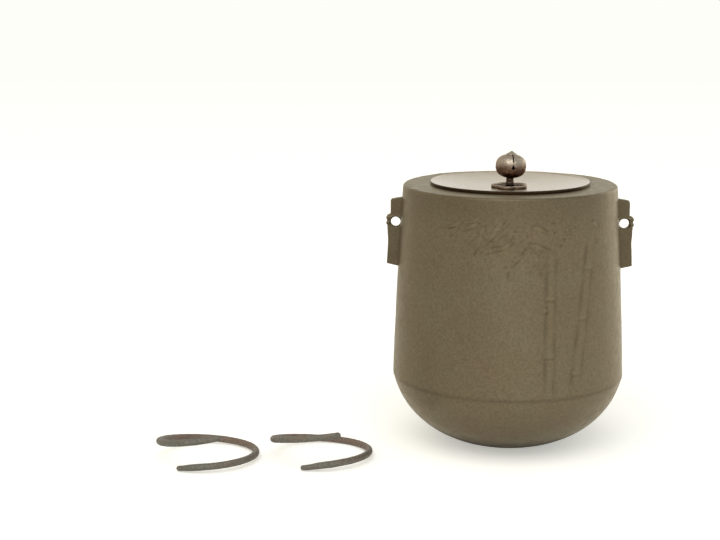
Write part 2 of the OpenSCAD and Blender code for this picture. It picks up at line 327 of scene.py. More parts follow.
    @staticmethod
    def press(piece: Piece, weights: np.ndarray, depth: float, direction: str = "NORMAL") -> None:
        """Moves a surface out by a depth where its vertices are weighed.

        Args:
            piece: The piece to change.
            weights: One weight from 0 to 1 for each vertex.
            depth: Way out at full weight; below 0 it goes in.
            direction: Way of the move, along the normal or an axis.
        """
        group = Bench.weigh(piece, weights)
        Bench.apply(piece, "DISPLACE", strength=depth, mid_level=0.0, direction=direction,
                    vertex_group=group)
        piece.vertex_groups.clear()

    @staticmethod
    def mark(piece: Piece, name: str, values: np.ndarray) -> None:
        """Stores a value for each vertex as an attribute that a finish can read."""
        attribute = piece.data.attributes.new(name, "FLOAT", "POINT")
        attribute.data.foreach_set("value", values.astype(np.float32))

    @staticmethod
    def roughen(piece: Piece, grain: float, depth: float, weights: np.ndarray | None = None) -> None:
        """Moves a surface in and out by a clouds texture.

        Args:
            piece: The piece to change.
            grain: Size of the texture's features.
            depth: Full height of the change.
            weights: Share of the change at each vertex; all of it if left out.
        """
        texture = bpy.data.textures.new(f"{piece.name}_clouds", "CLOUDS")
        texture.noise_scale = grain
        group = "" if weights is None else Bench.weigh(piece, weights)
        Bench.apply(piece, "DISPLACE", texture=texture, texture_coords="LOCAL", strength=depth,
                    mid_level=0.5, vertex_group=group)
        piece.vertex_groups.clear()

    @staticmethod
    def points(piece: Piece) -> np.ndarray:
        """Gives the places of a piece's vertices.

        Args:
            piece: The piece to read.

        Returns:
            Rows of x, y and z.
        """
        places = np.zeros(len(piece.data.vertices) * 3, np.float32)
        piece.data.vertices.foreach_get("co", places)
        return places.reshape(-1, 3).astype(float)

    @staticmethod
    def normals(piece: Piece) -> np.ndarray:
        """Gives the normals of a piece's vertices.

        Args:
            piece: The piece to read.

        Returns:
            Rows of x, y and z.
        """
        ways = np.zeros(len(piece.data.vertices) * 3, np.float32)
        piece.data.vertices.foreach_get("normal", ways)
        return ways.reshape(-1, 3).astype(float)

    @staticmethod
    def hand_over(piece: Piece, body: Body, slot: Slot, skin: Skin, *nodes: str) -> None:
        """Finishes a piece: smooth shading, its skin, and the body and nodes that it stands for.

        Args:
            piece: The finished piece.
            body: The body that it rides on.
            slot: The record's slot for its finish; not used.
            skin: Its material.
            nodes: The solids that it stands for.
        """
        Bench.settle(piece)
        bpy.ops.object.shade_smooth_by_angle(angle=SHADING_ANGLE)
        piece.data.materials.clear()
        piece.data.materials.append(skin)
        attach(piece, body.value)
        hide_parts(*nodes)
        log.info("%s: %d faces on %s", piece.name, len(piece.data.polygons), body.value)


class Tree:
    """A node tree, with short calls for the nodes that the finishes and the sky share."""

    # Sockets of a Mix node that take and give colours.
    UNDER, OVER, RESULT = 6, 7, 2

    def __init__(self, tree: bpy.types.NodeTree) -> None:
        """Takes hold of a tree's nodes and links."""
        self.nodes = tree.nodes
        self.links = tree.links

    def put(self, socket: Socket, value: Socket | Colour | float) -> None:
        """Links a value to a socket, or sets it there if it is a constant.

        Args:
            socket: The socket that takes the value.
            value: Another node's output, a colour or a number.
        """
        if isinstance(value, Socket):
            self.links.new(value, socket)
        else:
            socket.default_value = value

    def combine(self, operation: str, first: Socket | float, second: Socket | float) -> Socket:
        """Works out one value from two.

        Args:
            operation: Blender's name of the operation.
            first: First value.
            second: Second value.

        Returns:
            The result.
        """
        node = self.nodes.new("ShaderNodeMath")
        node.operation = operation
        self.put(node.inputs[0], first)
        self.put(node.inputs[1], second)
        return node.outputs["Value"]

    def times(self, first: Socket | float, second: Socket | float) -> Socket:
        """Works out the product of two values."""
        return self.combine("MULTIPLY", first, second)

    def split(self, vector: Socket, axis: str) -> Socket:
        """Gives a vector's part along an axis.

        Args:
            vector: The vector.
            axis: The axis, X, Y or Z.

        Returns:
            The part along it.
        """
        node = self.nodes.new("ShaderNodeSeparateXYZ")
        self.links.new(vector, node.inputs["Vector"])
        return node.outputs[axis]

    def span(self, value: Socket, low: float, high: float, start: float = 0.0, end: float = 1.0) -> Socket:
        """Maps a value's span from low to high onto one from start to end.

        Args:
            value: The value to map.
            low: Value that gives start.
            high: Value that gives end.
            start: Result at low.
            end: Result at high.

        Returns:
            The mapped value, kept within the span.
        """
        node = self.nodes.new("ShaderNodeMapRange")
        for key, number in (("From Min", low), ("From Max", high), ("To Min", start), ("To Max", end)):
            node.inputs[key].default_value = number
        self.links.new(value, node.inputs["Value"])
        return node.outputs["Result"]

    def blend(self, share: Socket, under: Socket | Colour, over: Socket | Colour) -> Socket:
        """Lays one colour over another by a share.

        Args:
            share: How much of the upper colour shows.
            under: The lower colour.
            over: The upper colour.

        Returns:
            The mixed colour.
        """
        node = self.nodes.new("ShaderNodeMix")
        node.data_type = "RGBA"
        self.links.new(share, node.inputs["Factor"])
        self.put(node.inputs[self.UNDER], under)
        self.put(node.inputs[self.OVER], over)
        return node.outputs[self.RESULT]

    def seen(self, gloss: Socket | float = 1.0) -> Socket:
        """Gives 1 for rays that show a surface and 0 for those that only light others.

        Args:
            gloss: The value for rays that show it in a reflection.

        Returns:
            The value.
        """
        path = self.nodes.new("ShaderNodeLightPath").outputs
        value = path["Is Camera Ray"]
        for way, share in (("Is Transmission Ray", 1.0), ("Is Glossy Ray", gloss)):
            value = self.combine("MAXIMUM", value, self.times(path[way], share))
        return value


class Graph(Tree):
    """The node tree of one material, with the patterns that its finish is made of."""

    def __init__(self, name: str) -> None:
        """Starts a material with its shader and the piece's own coordinates.

        Args:
            name: Name of the material.
        """
        self.material = bpy.data.materials.new(name)
        self.material.use_nodes = True
        super().__init__(self.material.node_tree)
        self.shader = self.nodes["Principled BSDF"]
        self.place = self.nodes.new("ShaderNodeTexCoord").outputs["Object"]

    def set(self, **values: object) -> None:
        """Sets constants on the shader's own sockets, with _ for a space in a name."""
        for key, value in values.items():
            self.shader.inputs[key.replace("_", " ")].default_value = value

    def feed(self, socket: str, value: Socket) -> None:
        """Links a value to one of the shader's sockets."""
        self.links.new(value, self.shader.inputs[socket])

    def noise(self, size: float, detail: float) -> Socket:
        """Adds a noise pattern on the piece's own coordinates.

        Args:
            size: Size of the pattern's features.
            detail: Number of finer layers.

        Returns:
            The pattern, around one half.
        """
        node = self.nodes.new("ShaderNodeTexNoise")
        node.inputs["Scale"].default_value = 1 / size
        node.inputs["Detail"].default_value = detail
        self.links.new(self.place, node.inputs["Vector"])
        return node.outputs["Fac"]

    def sway(self, pattern: Socket, start: float, end: float) -> Socket:
        """Turns a noise pattern into a value that goes from start to end over its middle span."""
        return self.span(pattern, *PATTERN_SPAN, start, end)

    def pits(self, size: float) -> Socket:
        """Adds rounded cells: distance from the nearest of scattered points.

        Args:
            size: Spacing of the cells.

        Returns:
            The distance, 0 in a cell's middle.
        """
        node = self.nodes.new("ShaderNodeTexVoronoi")
        node.inputs["Scale"].default_value = 1 / size
        self.links.new(self.place, node.inputs["Vector"])
        return node.outputs["Distance"]

    def attribute(self, name: str) -> Socket:
        """Reads a value that is stored on the piece's own vertices.

        Args:
            name: Name of the attribute.

        Returns:
            The value, 0 on a piece without it.
        """
        node = self.nodes.new("ShaderNodeAttribute")
        node.attribute_name = name
        return node.outputs["Fac"]

    def axis(self, name: str, low: float, high: float) -> Socket:
        """Gives a place along an axis as a share, 0 at low and 1 at high."""
        return self.span(self.split(self.place, name), low, high)

    def reach(self) -> Socket:
        """Gives each point's distance from the object's origin.

        Returns:
            The distance.
        """
        length = self.nodes.new("ShaderNodeVectorMath")
        length.operation = "LENGTH"
        self.links.new(self.place, length.inputs[0])
        return length.outputs["Value"]

    def ramp(self, value: Socket, *stops: tuple[float, Colour]) -> Socket:
        """Turns a value into a colour.

        Args:
            value: The value to colour.
            stops: Places from 0 to 1 with their colours.

        Returns:
            The colour.
        """
        node = self.nodes.new("ShaderNodeValToRGB")
        elements = node.color_ramp.elements
        while len(elements) < len(stops):
            elements.new(0.5)
        for element, (position, colour) in zip(elements, stops):
            element.position = position
            element.color = colour
        self.links.new(value, node.inputs["Fac"])
        return node.outputs["Color"]

    def relief(self, *layers: tuple[Socket, float]) -> None:
        """Stacks bump layers on the shader's normal.

        Args:
            layers: Height patterns with their real heights, coarse ones first.
        """
        normal = None
        for height, distance in layers:
            node = self.nodes.new("ShaderNodeBump")
            node.inputs["Distance"].default_value = distance
            self.links.new(height, node.inputs["Height"])
            if normal is not None:
                self.links.new(normal, node.inputs["Normal"])
            normal = node.outputs["Normal"]
        self.feed("Normal", normal)


@dataclass(frozen=True)
class CastIronFinish:
    """Matte olive-brown skin of sand-cast iron with a rusty inside, painted shade under the foot and in dark
    marks, and a painted highlight on the raised relief.
    """

    name: str = "cast_iron_skin"
    dark: Colour = tone(108, 94, 74)
    plain: Colour = tone(107, 96, 76)
    light: Colour = tone(108, 100, 79)
    # Also the colour of the painted shade in grooves and dark marks.
    groove: Colour = tone(71, 62, 46)
    # Also the colour of the painted highlight on the raised relief.
    worn: Colour = tone(130, 118, 94)
    inside: Colour = tone(74, 58, 46)
    rust: Colour = tone(98, 62, 38)
    # Painted shade under the foot.
    underside_shade: Colour = tone(46, 40, 31)
    gleam: Colour = (1, 0.9, 0.7, 1)
    cloud: float = 34 * MM
    blotch: float = 6 * MM
    grain: float = 1.7 * MM
    mottle_share: Span = (0.1, 0.2)
    speck_span: Span = (0.2, 0.8)
    speck_share: Span = (0.24, 0.27)
    highlight_share: float = 0.5
    shade_share: float = 0.85
    roughness: Span = (0.29, 0.43)
    underside_roughness: float = 0.5
    metal: float = 0.5
    blotch_bump: float = 0.16 * MM
    grain_bump: float = 0.13 * MM

    def build(self) -> Skin:
        """Makes the material.

        Returns:
            The material.
        """
        graph = Graph(self.name)
        clouds = graph.noise(self.cloud, 2)
        blotches = graph.noise(self.blotch, 4)
        grains = graph.noise(self.grain, 1)
        skin = graph.ramp(clouds, (0.32, self.dark), (0.5, self.plain), (0.68, self.light))
        mottle = graph.ramp(blotches, (0.3, self.dark), (0.7, self.light))
        skin = graph.blend(graph.sway(blotches, *self.mottle_share), skin, mottle)
        speck = graph.ramp(grains, (0.3, self.groove), (0.5, self.plain), (0.7, self.worn))
        skin = graph.blend(graph.span(grains, *self.speck_span, *self.speck_share), skin, speck)
        # Painted highlight: the raised relief is paler.
        skin = graph.blend(graph.times(graph.attribute("raised"), self.highlight_share), skin, self.worn)
        # Painted shade in the relief's grooves, at the corner, round the lid, high on the wall, on the bowl
        # and on the lugs.
        skin = graph.blend(graph.times(graph.attribute("groove_and_shade"), self.shade_share), skin, self.groove)
        rusty = graph.ramp(blotches, (0.35, self.inside), (0.75, self.rust))
        skin = graph.blend(graph.attribute("inside"), skin, rusty)
        # Painted shade under the bowl: darker, rougher and less metallic towards the foot.
        underside_shade = graph.attribute("underside_shade")
        graph.feed("Base Color", graph.blend(underside_shade, skin, self.underside_shade))
        underside_rough = graph.times(underside_shade, self.underside_roughness)
        graph.feed("Roughness", graph.combine("ADD", graph.sway(blotches, *self.roughness), underside_rough))
        graph.feed("Metallic", graph.span(underside_shade, 0, 1, self.metal, 0))
        graph.set(Specular_IOR_Level=0.45, Specular_Tint=self.gleam)
        graph.relief((blotches, self.blotch_bump), (grains, self.grain_bump))
        return graph.material


@dataclass(frozen=True)
class LidBronzeFinish:
    """Satin brown bronze under a rubbed wax coat, with a dark lacquered edge."""

    name: str = "lid_bronze_skin"
    deep: Colour = tone(161, 145, 120)
    plain: Colour = tone(178, 162, 138)
    pale: Colour = tone(190, 175, 153)
    edge: Colour = tone(66, 53, 39)
    gleam: Colour = (0.98, 0.94, 0.88, 1)
    wax: Colour = (1, 0.99, 0.97, 1)
    wax_edge: Span = (0.3, 0.9)
    cloud: float = 16 * MM
    grain: float = 0.8 * MM
    roughness: Span = (0.24, 0.36)
    cloud_bump: float = 0.05 * MM
    grain_bump: float = 0.012 * MM

    def build(self) -> Skin:
        """Makes the material.

        Returns:
            The material.
        """
        graph = Graph(self.name)
        clouds = graph.noise(self.cloud, 4)
        grains = graph.noise(self.grain, 2)
        skin = graph.ramp(clouds, (0.3, self.deep), (0.5, self.plain), (0.72, self.pale))
        rim = graph.attribute("edge")
        graph.feed("Base Color", graph.blend(rim, skin, self.edge))
        graph.feed("Roughness", graph.sway(clouds, *self.roughness))
        graph.set(Metallic=1.0, Specular_Tint=self.gleam)
        graph.feed("Coat Weight", graph.span(rim, *self.wax_edge, 1, 0))
        graph.set(Coat_Roughness=0.26, Coat_IOR=1.7, Coat_Tint=self.wax)
        graph.relief((clouds, self.cloud_bump), (grains, self.grain_bump))
        return graph.material


@dataclass(frozen=True)
class KnobBronzeFinish:
    """Hammered bronze with pits, and a painted reflection: grey-brown above, reddish dark brown below."""

    name: str = "knob_bronze_skin"
    low_z: float = 199 * MM
    high_z: float = 219 * MM
    # Painted reflection by height: umber and red below, brown and grey above.
    umber: Colour = tone(42, 32, 25)
    red: Colour = tone(72, 44, 36)
    brown: Colour = tone(112, 93, 82)
    grey: Colour = tone(174, 163, 148)
    pit: Colour = tone(54, 40, 30)
    # Painted shade in hollows.
    hollow_shade: Colour = tone(26, 19, 15)
    gleam: Colour = (0.8, 0.7, 0.63, 1)
    cloud: float = 4 * MM
    dent: float = 2.4 * MM
    patch_share: Span = (0.12, 0.26)
    roughness: Span = (0.4, 0.24)
    dent_bump: float = 0.3 * MM
    fine_bump: float = 0.08 * MM

    def build(self) -> Skin:
        """Makes the material.

        Returns:
            The material.
        """
        graph = Graph(self.name)
        clouds = graph.noise(self.cloud, 4)
        dents = graph.pits(self.dent)
        fine = graph.noise(self.dent / 4, 3)
        # Painted reflection: paler grey above and dark reddish brown below, by height.
        height = graph.axis("Z", self.low_z, self.high_z)
        low, high = ((0.1, self.umber), (0.42, self.red)), ((0.66, self.brown), (0.88, self.grey))
        skin = graph.ramp(height, *low, *high)
        patch = graph.ramp(clouds, (0.35, self.pit), (0.55, self.brown), (0.75, self.grey))
        skin = graph.blend(graph.sway(clouds, *self.patch_share), skin, patch)
        # Painted shade in the knob's groove, teardrop and crown line, and in the seat's cups.
        graph.feed("Base Color", graph.blend(graph.attribute("hollow_shade"), skin, self.hollow_shade))
        graph.feed("Roughness", graph.sway(clouds, *self.roughness))
        graph.set(Metallic=0.95, Specular_Tint=self.gleam)
        graph.relief((dents, self.dent_bump), (fine, self.fine_bump))
        return graph.material


@dataclass(frozen=True)
class ForgedIronFinish:
    """Forged iron: dark grey in front, reddish brown behind, with patches and fine scale."""

    name: str = "forged_iron_skin"
    dark: Colour = tone(74, 68, 60)
    grey: Colour = tone(116, 115, 105)
    plain: Colour = tone(124, 115, 102)
    red: Colour = tone(134, 111, 98)
    front_y: float = -92 * MM
    rear_y: float = -42 * MM
    cloud: float = 14 * MM
    scale: float = 1.6 * MM
    patch_share: Span = (0.3, 0.5)
    scale_span: Span = (0.35, 0.65)
    dark_share: float = 0.5
    roughness: Span = (0.63, 0.45)
    scale_bump: float = 0.18 * MM

    def build(self) -> Skin:
        """Makes the material.

        Returns:
            The material.
        """
        graph = Graph(self.name)
        clouds = graph.noise(self.cloud, 3)
        scales = graph.noise(self.scale, 4)
        depth = graph.axis("Y", self.front_y, self.rear_y)
        patch = graph.ramp(clouds, (0.3, self.grey), (0.5, self.plain), (0.68, self.red))
        skin = graph.ramp(depth, (0, self.grey), (0.45, self.plain), (1, self.red))
        skin = graph.blend(graph.sway(clouds, *self.patch_share), skin, patch)
        skin = graph.blend(graph.span(scales, *self.scale_span, self.dark_share, 0.0), skin, self.dark)
        graph.feed("Base Color", skin)
        graph.feed("Roughness", graph.sway(scales, *self.roughness))
        graph.set(Metallic=0.25, Specular_IOR_Level=0.45)
        graph.relief((scales, self.scale_bump))
        return graph.material


@dataclass(frozen=True)
class LacquerFinish:
    """Black-brown lacquer with a soft gloss."""

    name: str = "lacquer_skin"
    deep: Colour = tone(34, 26, 22)
    plain: Colour = tone(52, 38, 30)
    cloud: float = 2 * MM
    roughness: Span = (0.25, 0.4)
    cloud_bump: float = 0.1 * MM

    def build(self) -> Skin:
        """Makes the material.

        Returns:
            The material.
        """
        graph = Graph(self.name)
        clouds = graph.noise(self.cloud, 3)
        graph.feed("Base Color", graph.ramp(clouds, (0.3, self.deep), (0.7, self.plain)))
        graph.feed("Roughness", graph.sway(clouds, *self.roughness))
        graph.relief((clouds, self.cloud_bump))
        return graph.material


@dataclass(frozen=True)
class Leaf:
    """A bamboo leaf in low relief, from its stem to its tip, by arc from the front and height.

    Its places and widths are in millimetres.
    """

    stem: tuple[float, float]
    tip: tuple[float, float]
    width: float = 2.4
    bow: float = 0.0
    depth: float = 0.75
    belly: float = 0.7
    fullness: float = 0.8
    stem_fade: Span = (-0.06, 0.04)
    tip_fade: Span = (1.08, 0.94)
    soft: float = 0.5
    wear: float = 0.3
    wear_rate: float = 9
    line_w: float = 0.65
    line_gap: float = 0.2
    far_line: float = 0.6
    vein_w: float = 0.4
    vein: float = 0.5
    line_depth: float = 1.1

    def relief(self, arc: np.ndarray, height: np.ndarray) -> tuple[np.ndarray, np.ndarray]:
        """Works out where the leaf is raised, with a painted highlight, and where its lines sink in, with
        painted shade.

        Args:
            arc: Arc of each point from the front, in millimetres.
            height: Height of each point, in millimetres.

        Returns:
            Shares of the raised relief and of the sunk lines at each point, which also set their painted
            highlight and shade.
        """
        run = np.array(self.tip) - np.array(self.stem)
        length = float(np.hypot(*run))
        run = run / length
        along = ((arc - self.stem[0]) * run[0] + (height - self.stem[1]) * run[1]) / length
        inside = np.clip(along, 0.0, 1.0)
        across = (height - self.stem[1]) * run[0] - (arc - self.stem[0]) * run[1]
        across = across - self.bow * 4 * inside * (1 - inside)
        half = self.width / 2 * np.sin(math.pi * inside ** self.belly) ** self.fullness
        ends = smooth(*self.stem_fade, along) * smooth(*self.tip_fade, along) * self.depth
        worn = 1 - self.wear + self.wear * np.sin(self.wear_rate * inside + self.stem[0])
        raised = ends * smooth(self.soft, -self.soft, np.abs(across) - half)
        near = bell(across - half - self.line_gap, self.line_w)
        far = bell(across + half + self.line_gap, self.line_w)
        line = np.maximum(near, self.far_line * far) + self.vein * bell(across, self.vein_w)
        return raised, np.clip(self.line_depth * ends * worn * line, 0, 1)


@dataclass(frozen=True)
class Stalk:
    """A bamboo stalk in low relief, from its foot to its head, with the heights of its joints.

    Its places and widths are in millimetres.
    """

    foot: tuple[float, float]
    head: tuple[float, float]
    joints: tuple[float, ...]
    width: float = 6.8
    foot_fade: Span = (-0.03, 0.05)
    head_fade: Span = (1.04, 0.9)
    soft: float = 0.8
    rise: float = 0.16
    collar_h: float = 1.1
    collar_flare: float = 0.3
    collar_rise: float = 0.3
    wear: float = 0.28
    wear_rate: float = 0.21
    left_line_w: float = 1.5
    right_line_w: float = 1.3
    right_line: float = 1.3
    ring_drop: float = 2.4
    ring_h: float = 0.7
    ring_soft: float = 0.5
    ring: float = 0.6
    line_depth: float = 0.7

    def relief(self, arc: np.ndarray, height: np.ndarray) -> tuple[np.ndarray, np.ndarray]:
        """Works out where the stalk is raised, with a painted highlight, and where its lines sink in, with
        painted shade.

        Args:
            arc: Arc of each point from the front, in millimetres.
            height: Height of each point, in millimetres.

        Returns:
            Shares of the raised relief and of the sunk lines at each point, which also set their painted
            highlight and shade.
        """
        share = (height - self.foot[1]) / (self.head[1] - self.foot[1])
        across = arc - (self.foot[0] + (self.head[0] - self.foot[0]) * share)
        ends = smooth(*self.foot_fade, share) * smooth(*self.head_fade, share)
        collar = sum(bell(height - z, self.collar_h) for z in self.joints)
        half = self.width / 2 * (1 + self.collar_flare * collar)
        rise = self.rise + self.collar_rise * np.clip(collar, 0, 1)
        raised = ends * smooth(self.soft, -self.soft, np.abs(across) - half) * rise
        worn = 1 - self.wear + self.wear * np.sin(height * self.wear_rate + self.foot[0])
        left = bell(across + half, self.left_line_w) * worn
        right = bell(across - half, self.right_line_w) * (self.right_line - worn)
        ring = self.ring * sum(bell(height - z + self.ring_drop, self.ring_h) for z in self.joints)
        line = left + right + ring * smooth(self.ring_soft, -self.ring_soft, np.abs(across) - half)
        return raised, self.line_depth * np.clip(ends * line, 0, 1)


@dataclass
class KettleBody:
    """The hollow iron casting with its low bamboo relief."""

    skin: Skin
    corner_r: float = 87.8 * MM
    corner_z: float = 54 * MM
    shoulder_r: float = 80.5 * MM
    shoulder_round: float = 2 * MM
    wall_bulge: float = 0.6 * MM
    wall_t: float = 4 * MM
    shoulder_t: float = 4.2 * MM
    floor_t: float = 4.2 * MM
    floor_r: float = 22 * MM
    foot_r: float = 15 * MM
    bowl_sweep: float = math.radians(79)
    corner_step: float = 0.4 * MM
    corner_lip: float = 1.2 * MM
    lip_row: float = 0.6
    mouth_r: float = 54 * MM
    mouth_chamfer: float = 0.8 * MM
    top_chamfers: float = 1.5
    lid_r: float = 59.8 * MM
    front_steps: int = 260
    back_steps: int = 90
    wall_rows: int = 118
    relief_rise: float = 0.28 * MM
    relief_groove: float = 0.3 * MM
    bowl_steps: int = 34
    round_steps: int = 8
    flat_steps: int = 16
    inner_bowl_steps: int = 14
    inner_wall_steps: int = 10
    inner_round_steps: int = 4
    middle_steps: int = 60
    inner_round_share: float = 0.75
    swell: Rough = (30 * MM, 0.5 * MM)
    sand: Rough = (2.2 * MM, 0.16 * MM)
    level_slack: float = 0.1 * MM
    # Painted shade under the corner's lip, round the lid, high on the wall and on the bowl.
    corner_shade: float = 0.5
    corner_shade_w: float = 1.5 * MM
    lid_shade_w: float = 1.9 * MM
    band: float = 0.3
    band_z: Span = (168 * MM, 194 * MM)
    bowl_shade: float = 0.5
    bowl_shade_z: Span = (50 * MM, 14 * MM)
    # Heights over which the painted shade under the foot fades in.
    underside_z: Span = (20 * MM, 4 * MM)
    leaf_field: tuple[float, float, float, float] = (-60 * MM, 88 * MM, 136 * MM, 192 * MM)
    stalk_field: tuple[float, float, float, float] = (20 * MM, 70 * MM, 56 * MM, 136 * MM)
    stalks: tuple[Stalk, ...] = (
        Stalk((29.2, 57), (29.4, 161), (86, 128)),
        Stalk((50.6, 62), (64, 170), (72, 112, 148), 8),
    )
    leaves: tuple[Leaf, ...] = (
        Leaf((-35, 182), (-53.5, 176), 2.2, 1.2, 0.9),
        Leaf((-23, 181.5), (-36, 174.5)),
        Leaf((-22.5, 185.5), (-33.5, 180.5), 2.2, 0.8, 0.6),
        Leaf((-19.5, 182.5), (-26.5, 158.5), 2.6, 1, 0.7),
        Leaf((-14.5, 179.5), (-21.5, 159.5), 2.4, 0.8, 0.6),
        Leaf((-5, 185), (-19, 164), 3.2, 0, 0.85),
        Leaf((-8.8, 185), (-17, 172.5), 2, 0, 0.6),
        Leaf((1.3, 172), (-15.5, 164), 2.2, 0.8, 0.8),
        Leaf((1.3, 168.5), (-12.7, 161), 2.2, 0.8, 0.8),
        Leaf((8.5, 162), (0, 150.5), 3.2, 0, 1),
        Leaf((14, 168.5), (8, 161), 0.8, 0, 0.8),
        Leaf((13.4, 165), (21.7, 143.5), 2.2, 1.1, 0.6),
        Leaf((17.7, 165.5), (24.5, 150), 2, 0.6, 0.5),
        Leaf((15.5, 167.5), (32.7, 161), 2.2, -1.1, 0.9),
        Leaf((14.5, 179), (27, 173.5), 2.8, 1.2, 0.9),
        Leaf((-1.7, 183), (-5.8, 177), 1.8),
        Leaf((-4, 151), (-1.8, 142.5), 1.8),
        Leaf((64.5, 180.5), (74, 173.5), 3, 0, 1),
        Leaf((38, 184), (29, 181.5), 1.8),
        Leaf((42, 176.5), (39, 169), 2),
        Leaf((40.5, 178), (46.5, 172.5), 1.8, 0, 0.6),
        Leaf((28.5, 175.5), (32.5, 171), 2.6, 0, 0.9),
        Leaf((-12, 162.5), (-17.5, 159.5), 1.8),
        Leaf((38, 170.5), (36, 164), 1.8),
        Leaf((25.4, 122.5), (26.2, 115.5), 1.6, 0, 1),
        Leaf((70, 166), (80, 159), 2.2, 0, 0.6),
        Leaf((73, 150), (79, 141), 2.2, 0, 0.6),
        Leaf((52, 182), (46, 176), 2, 0, 0.6),
        Leaf((-2, 178), (-14, 168), 2, 0.6, 0.7),
        Leaf((2.5, 176.5), (-8, 167), 2, 0.6, 0.7),
        Leaf((-10, 176), (-20.5, 166), 2, 0.5, 0.7),
        Leaf((5, 182), (-4, 172), 2, 0.5, 0.6),
        Leaf((-24, 178), (-31, 166), 2, 0.6, 0.5),
        Leaf((9, 166), (3.5, 156), 1.8, 0.4, 0.7),
        Leaf((12, 176), (6, 168), 2, 0.4, 0.6),
        Leaf((20, 160), (16, 150), 1.8, 0.4, 0.5),
        Leaf((-38, 180), (-46, 170), 2, 0.6, 0.5),
        Leaf((-28, 172), (-36, 163), 2, 0.6, 0.5),
    )
    shoulder_z: float = field(init=False)

    def __post_init__(self) -> None:
        """Takes the shoulder's height from the frame."""
        self.shoulder_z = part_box("kettle_body")[1].z

    @property
    def wall_top_z(self) -> float:
        """Height at which the wall turns into the shoulder."""
        return self.shoulder_z - self.shoulder_round

    def wall_radius(self, z: float | np.ndarray) -> float | np.ndarray:
        """Gives the radius of the wall's outside at a height."""
        share = (z - self.corner_z) / (self.wall_top_z - self.corner_z)
        return mix(self.corner_r, self.shoulder_r, share) + self.wall_bulge * 4 * share * (1 - share)

    def bowl(self, start: tuple[float, float], end: tuple[float, float], steps: int) -> Line:
        """Draws the bowl's curve, which leaves the level at its start.

        Args:
            start: Radius and height at the bottom.
            end: Radius and height at the corner.
            steps: Number of steps.

        Returns:
            The curve's points.
        """
        points = []
        for i in range(steps + 1):
            a = self.bowl_sweep * i / steps
            out = math.sin(a) / math.sin(self.bowl_sweep)
            rise = (1 - math.cos(a)) / (1 - math.cos(self.bowl_sweep))
            points.append((mix(start[0], end[0], out), mix(start[1], end[1], rise)))
        return points

    def wall(self, low: float, high: float, inset: float, steps: int) -> Line:
        """Draws the wall's line from a low to a high place, set in by an inset."""
        heights = [mix(low, high, i / steps) for i in range(steps + 1)]
        return [(self.wall_radius(z) - inset, z) for z in heights]

    @staticmethod
    def quarter(side_r: float, top_z: float, radius: float, steps: int) -> Line:
        """Draws a quarter round from the wall's side to the level above it.

        Args:
            side_r: Radius of the wall's side.
            top_z: Height of the level.
            radius: Radius of the round.
            steps: Number of steps.

        Returns:
            The round's points.
        """
        turns = [math.pi / 2 * i / steps for i in range(steps + 1)]
        mid_r, mid_z = side_r - radius, top_z - radius
        return [(mid_r + radius * math.cos(a), mid_z + radius * math.sin(a)) for a in turns]

    def outline(self) -> Line:
        """Draws the casting's half outline, from the foot round to the inside floor.

        Returns:
            The outline's points.
        """
        inner_z = self.shoulder_z - self.shoulder_t
        inner_round = self.inner_round_share * self.shoulder_round
        lip = (self.corner_r - self.corner_step, self.corner_z - self.corner_lip)
        rim = (self.mouth_r + self.mouth_chamfer, self.shoulder_z)
        outside = [(0.0, 0.0), (self.foot_r / 2, 0.0)]
        bowl = self.bowl((self.foot_r, 0.0), lip, self.bowl_steps)
        near = bowl[-2]
        under = (mix(near[0], lip[0], self.lip_row), mix(near[1], lip[1], self.lip_row))
        outside += [*bowl[:-1], under, lip]
        outside += [(self.corner_r - self.corner_step / 3, lip[1])]
        outside += self.wall(self.corner_z, self.wall_top_z, 0.0, self.wall_rows)
        outside += self.quarter(self.shoulder_r, self.shoulder_z, self.shoulder_round, self.round_steps)[1:]
        flat_r = self.shoulder_r - self.shoulder_round
        flat = [mix(flat_r, rim[0], i / self.flat_steps) for i in range(1, self.flat_steps + 1)]
        outside += [(r, self.shoulder_z) for r in flat]
        outside += [(self.mouth_r, self.shoulder_z - self.mouth_chamfer)]
        low_round = inner_z - inner_round
        inside = [(0.0, self.floor_t), (self.floor_r / 2, self.floor_t)]
        corner = (self.corner_r - self.wall_t, self.corner_z)
        inside += self.bowl((self.floor_r, self.floor_t), corner, self.inner_bowl_steps)
        inside += self.wall(self.corner_z + self.corner_lip, low_round, self.wall_t, self.inner_wall_steps)
        side_r = self.wall_radius(low_round) - self.wall_t
        inside += self.quarter(side_r, inner_z, inner_round, self.inner_round_steps)[1:]
        inside += [(self.mouth_r + self.wall_t, inner_z), (self.mouth_r, inner_z)]
        return outside + inside[::-1]

    def relief(self, places: np.ndarray, on_wall: np.ndarray) -> tuple[np.ndarray, np.ndarray]:
        """Works out where the wall is raised, with a painted highlight, and where it sinks in, with painted
        shade.

        Args:
            places: Points of the casting.
            on_wall: True for each point on the wall's outside.

        Returns:
            Shares of the raised relief and of the sunk lines at each point, which also set their painted
            highlight and shade.
        """
        arc = np.arctan2(places[:, 0], -places[:, 1]) * self.wall_radius(places[:, 2]) / MM
        height = places[:, 2] / MM
        raised = np.zeros(len(places))
        groove_and_shade = np.zeros(len(places))
        for form in (*self.stalks, *self.leaves):
            up, down = form.relief(arc, height)
            raised = np.maximum(raised, up)
            groove_and_shade = np.maximum(groove_and_shade * (1 - up), down)
        return raised * on_wall, groove_and_shade * on_wall

    def painted_shades(self, radius: np.ndarray, z: np.ndarray, on_wall: np.ndarray) -> np.ndarray:
        """Works out the painted shade at the corner, round the lid, high on the wall and on the bowl.

        Args:
            radius: Radius of each point.
            z: Height of each point.
            on_wall: True for each point on the wall's outside.

        Returns:
            Share of the painted shade at each point.
        """
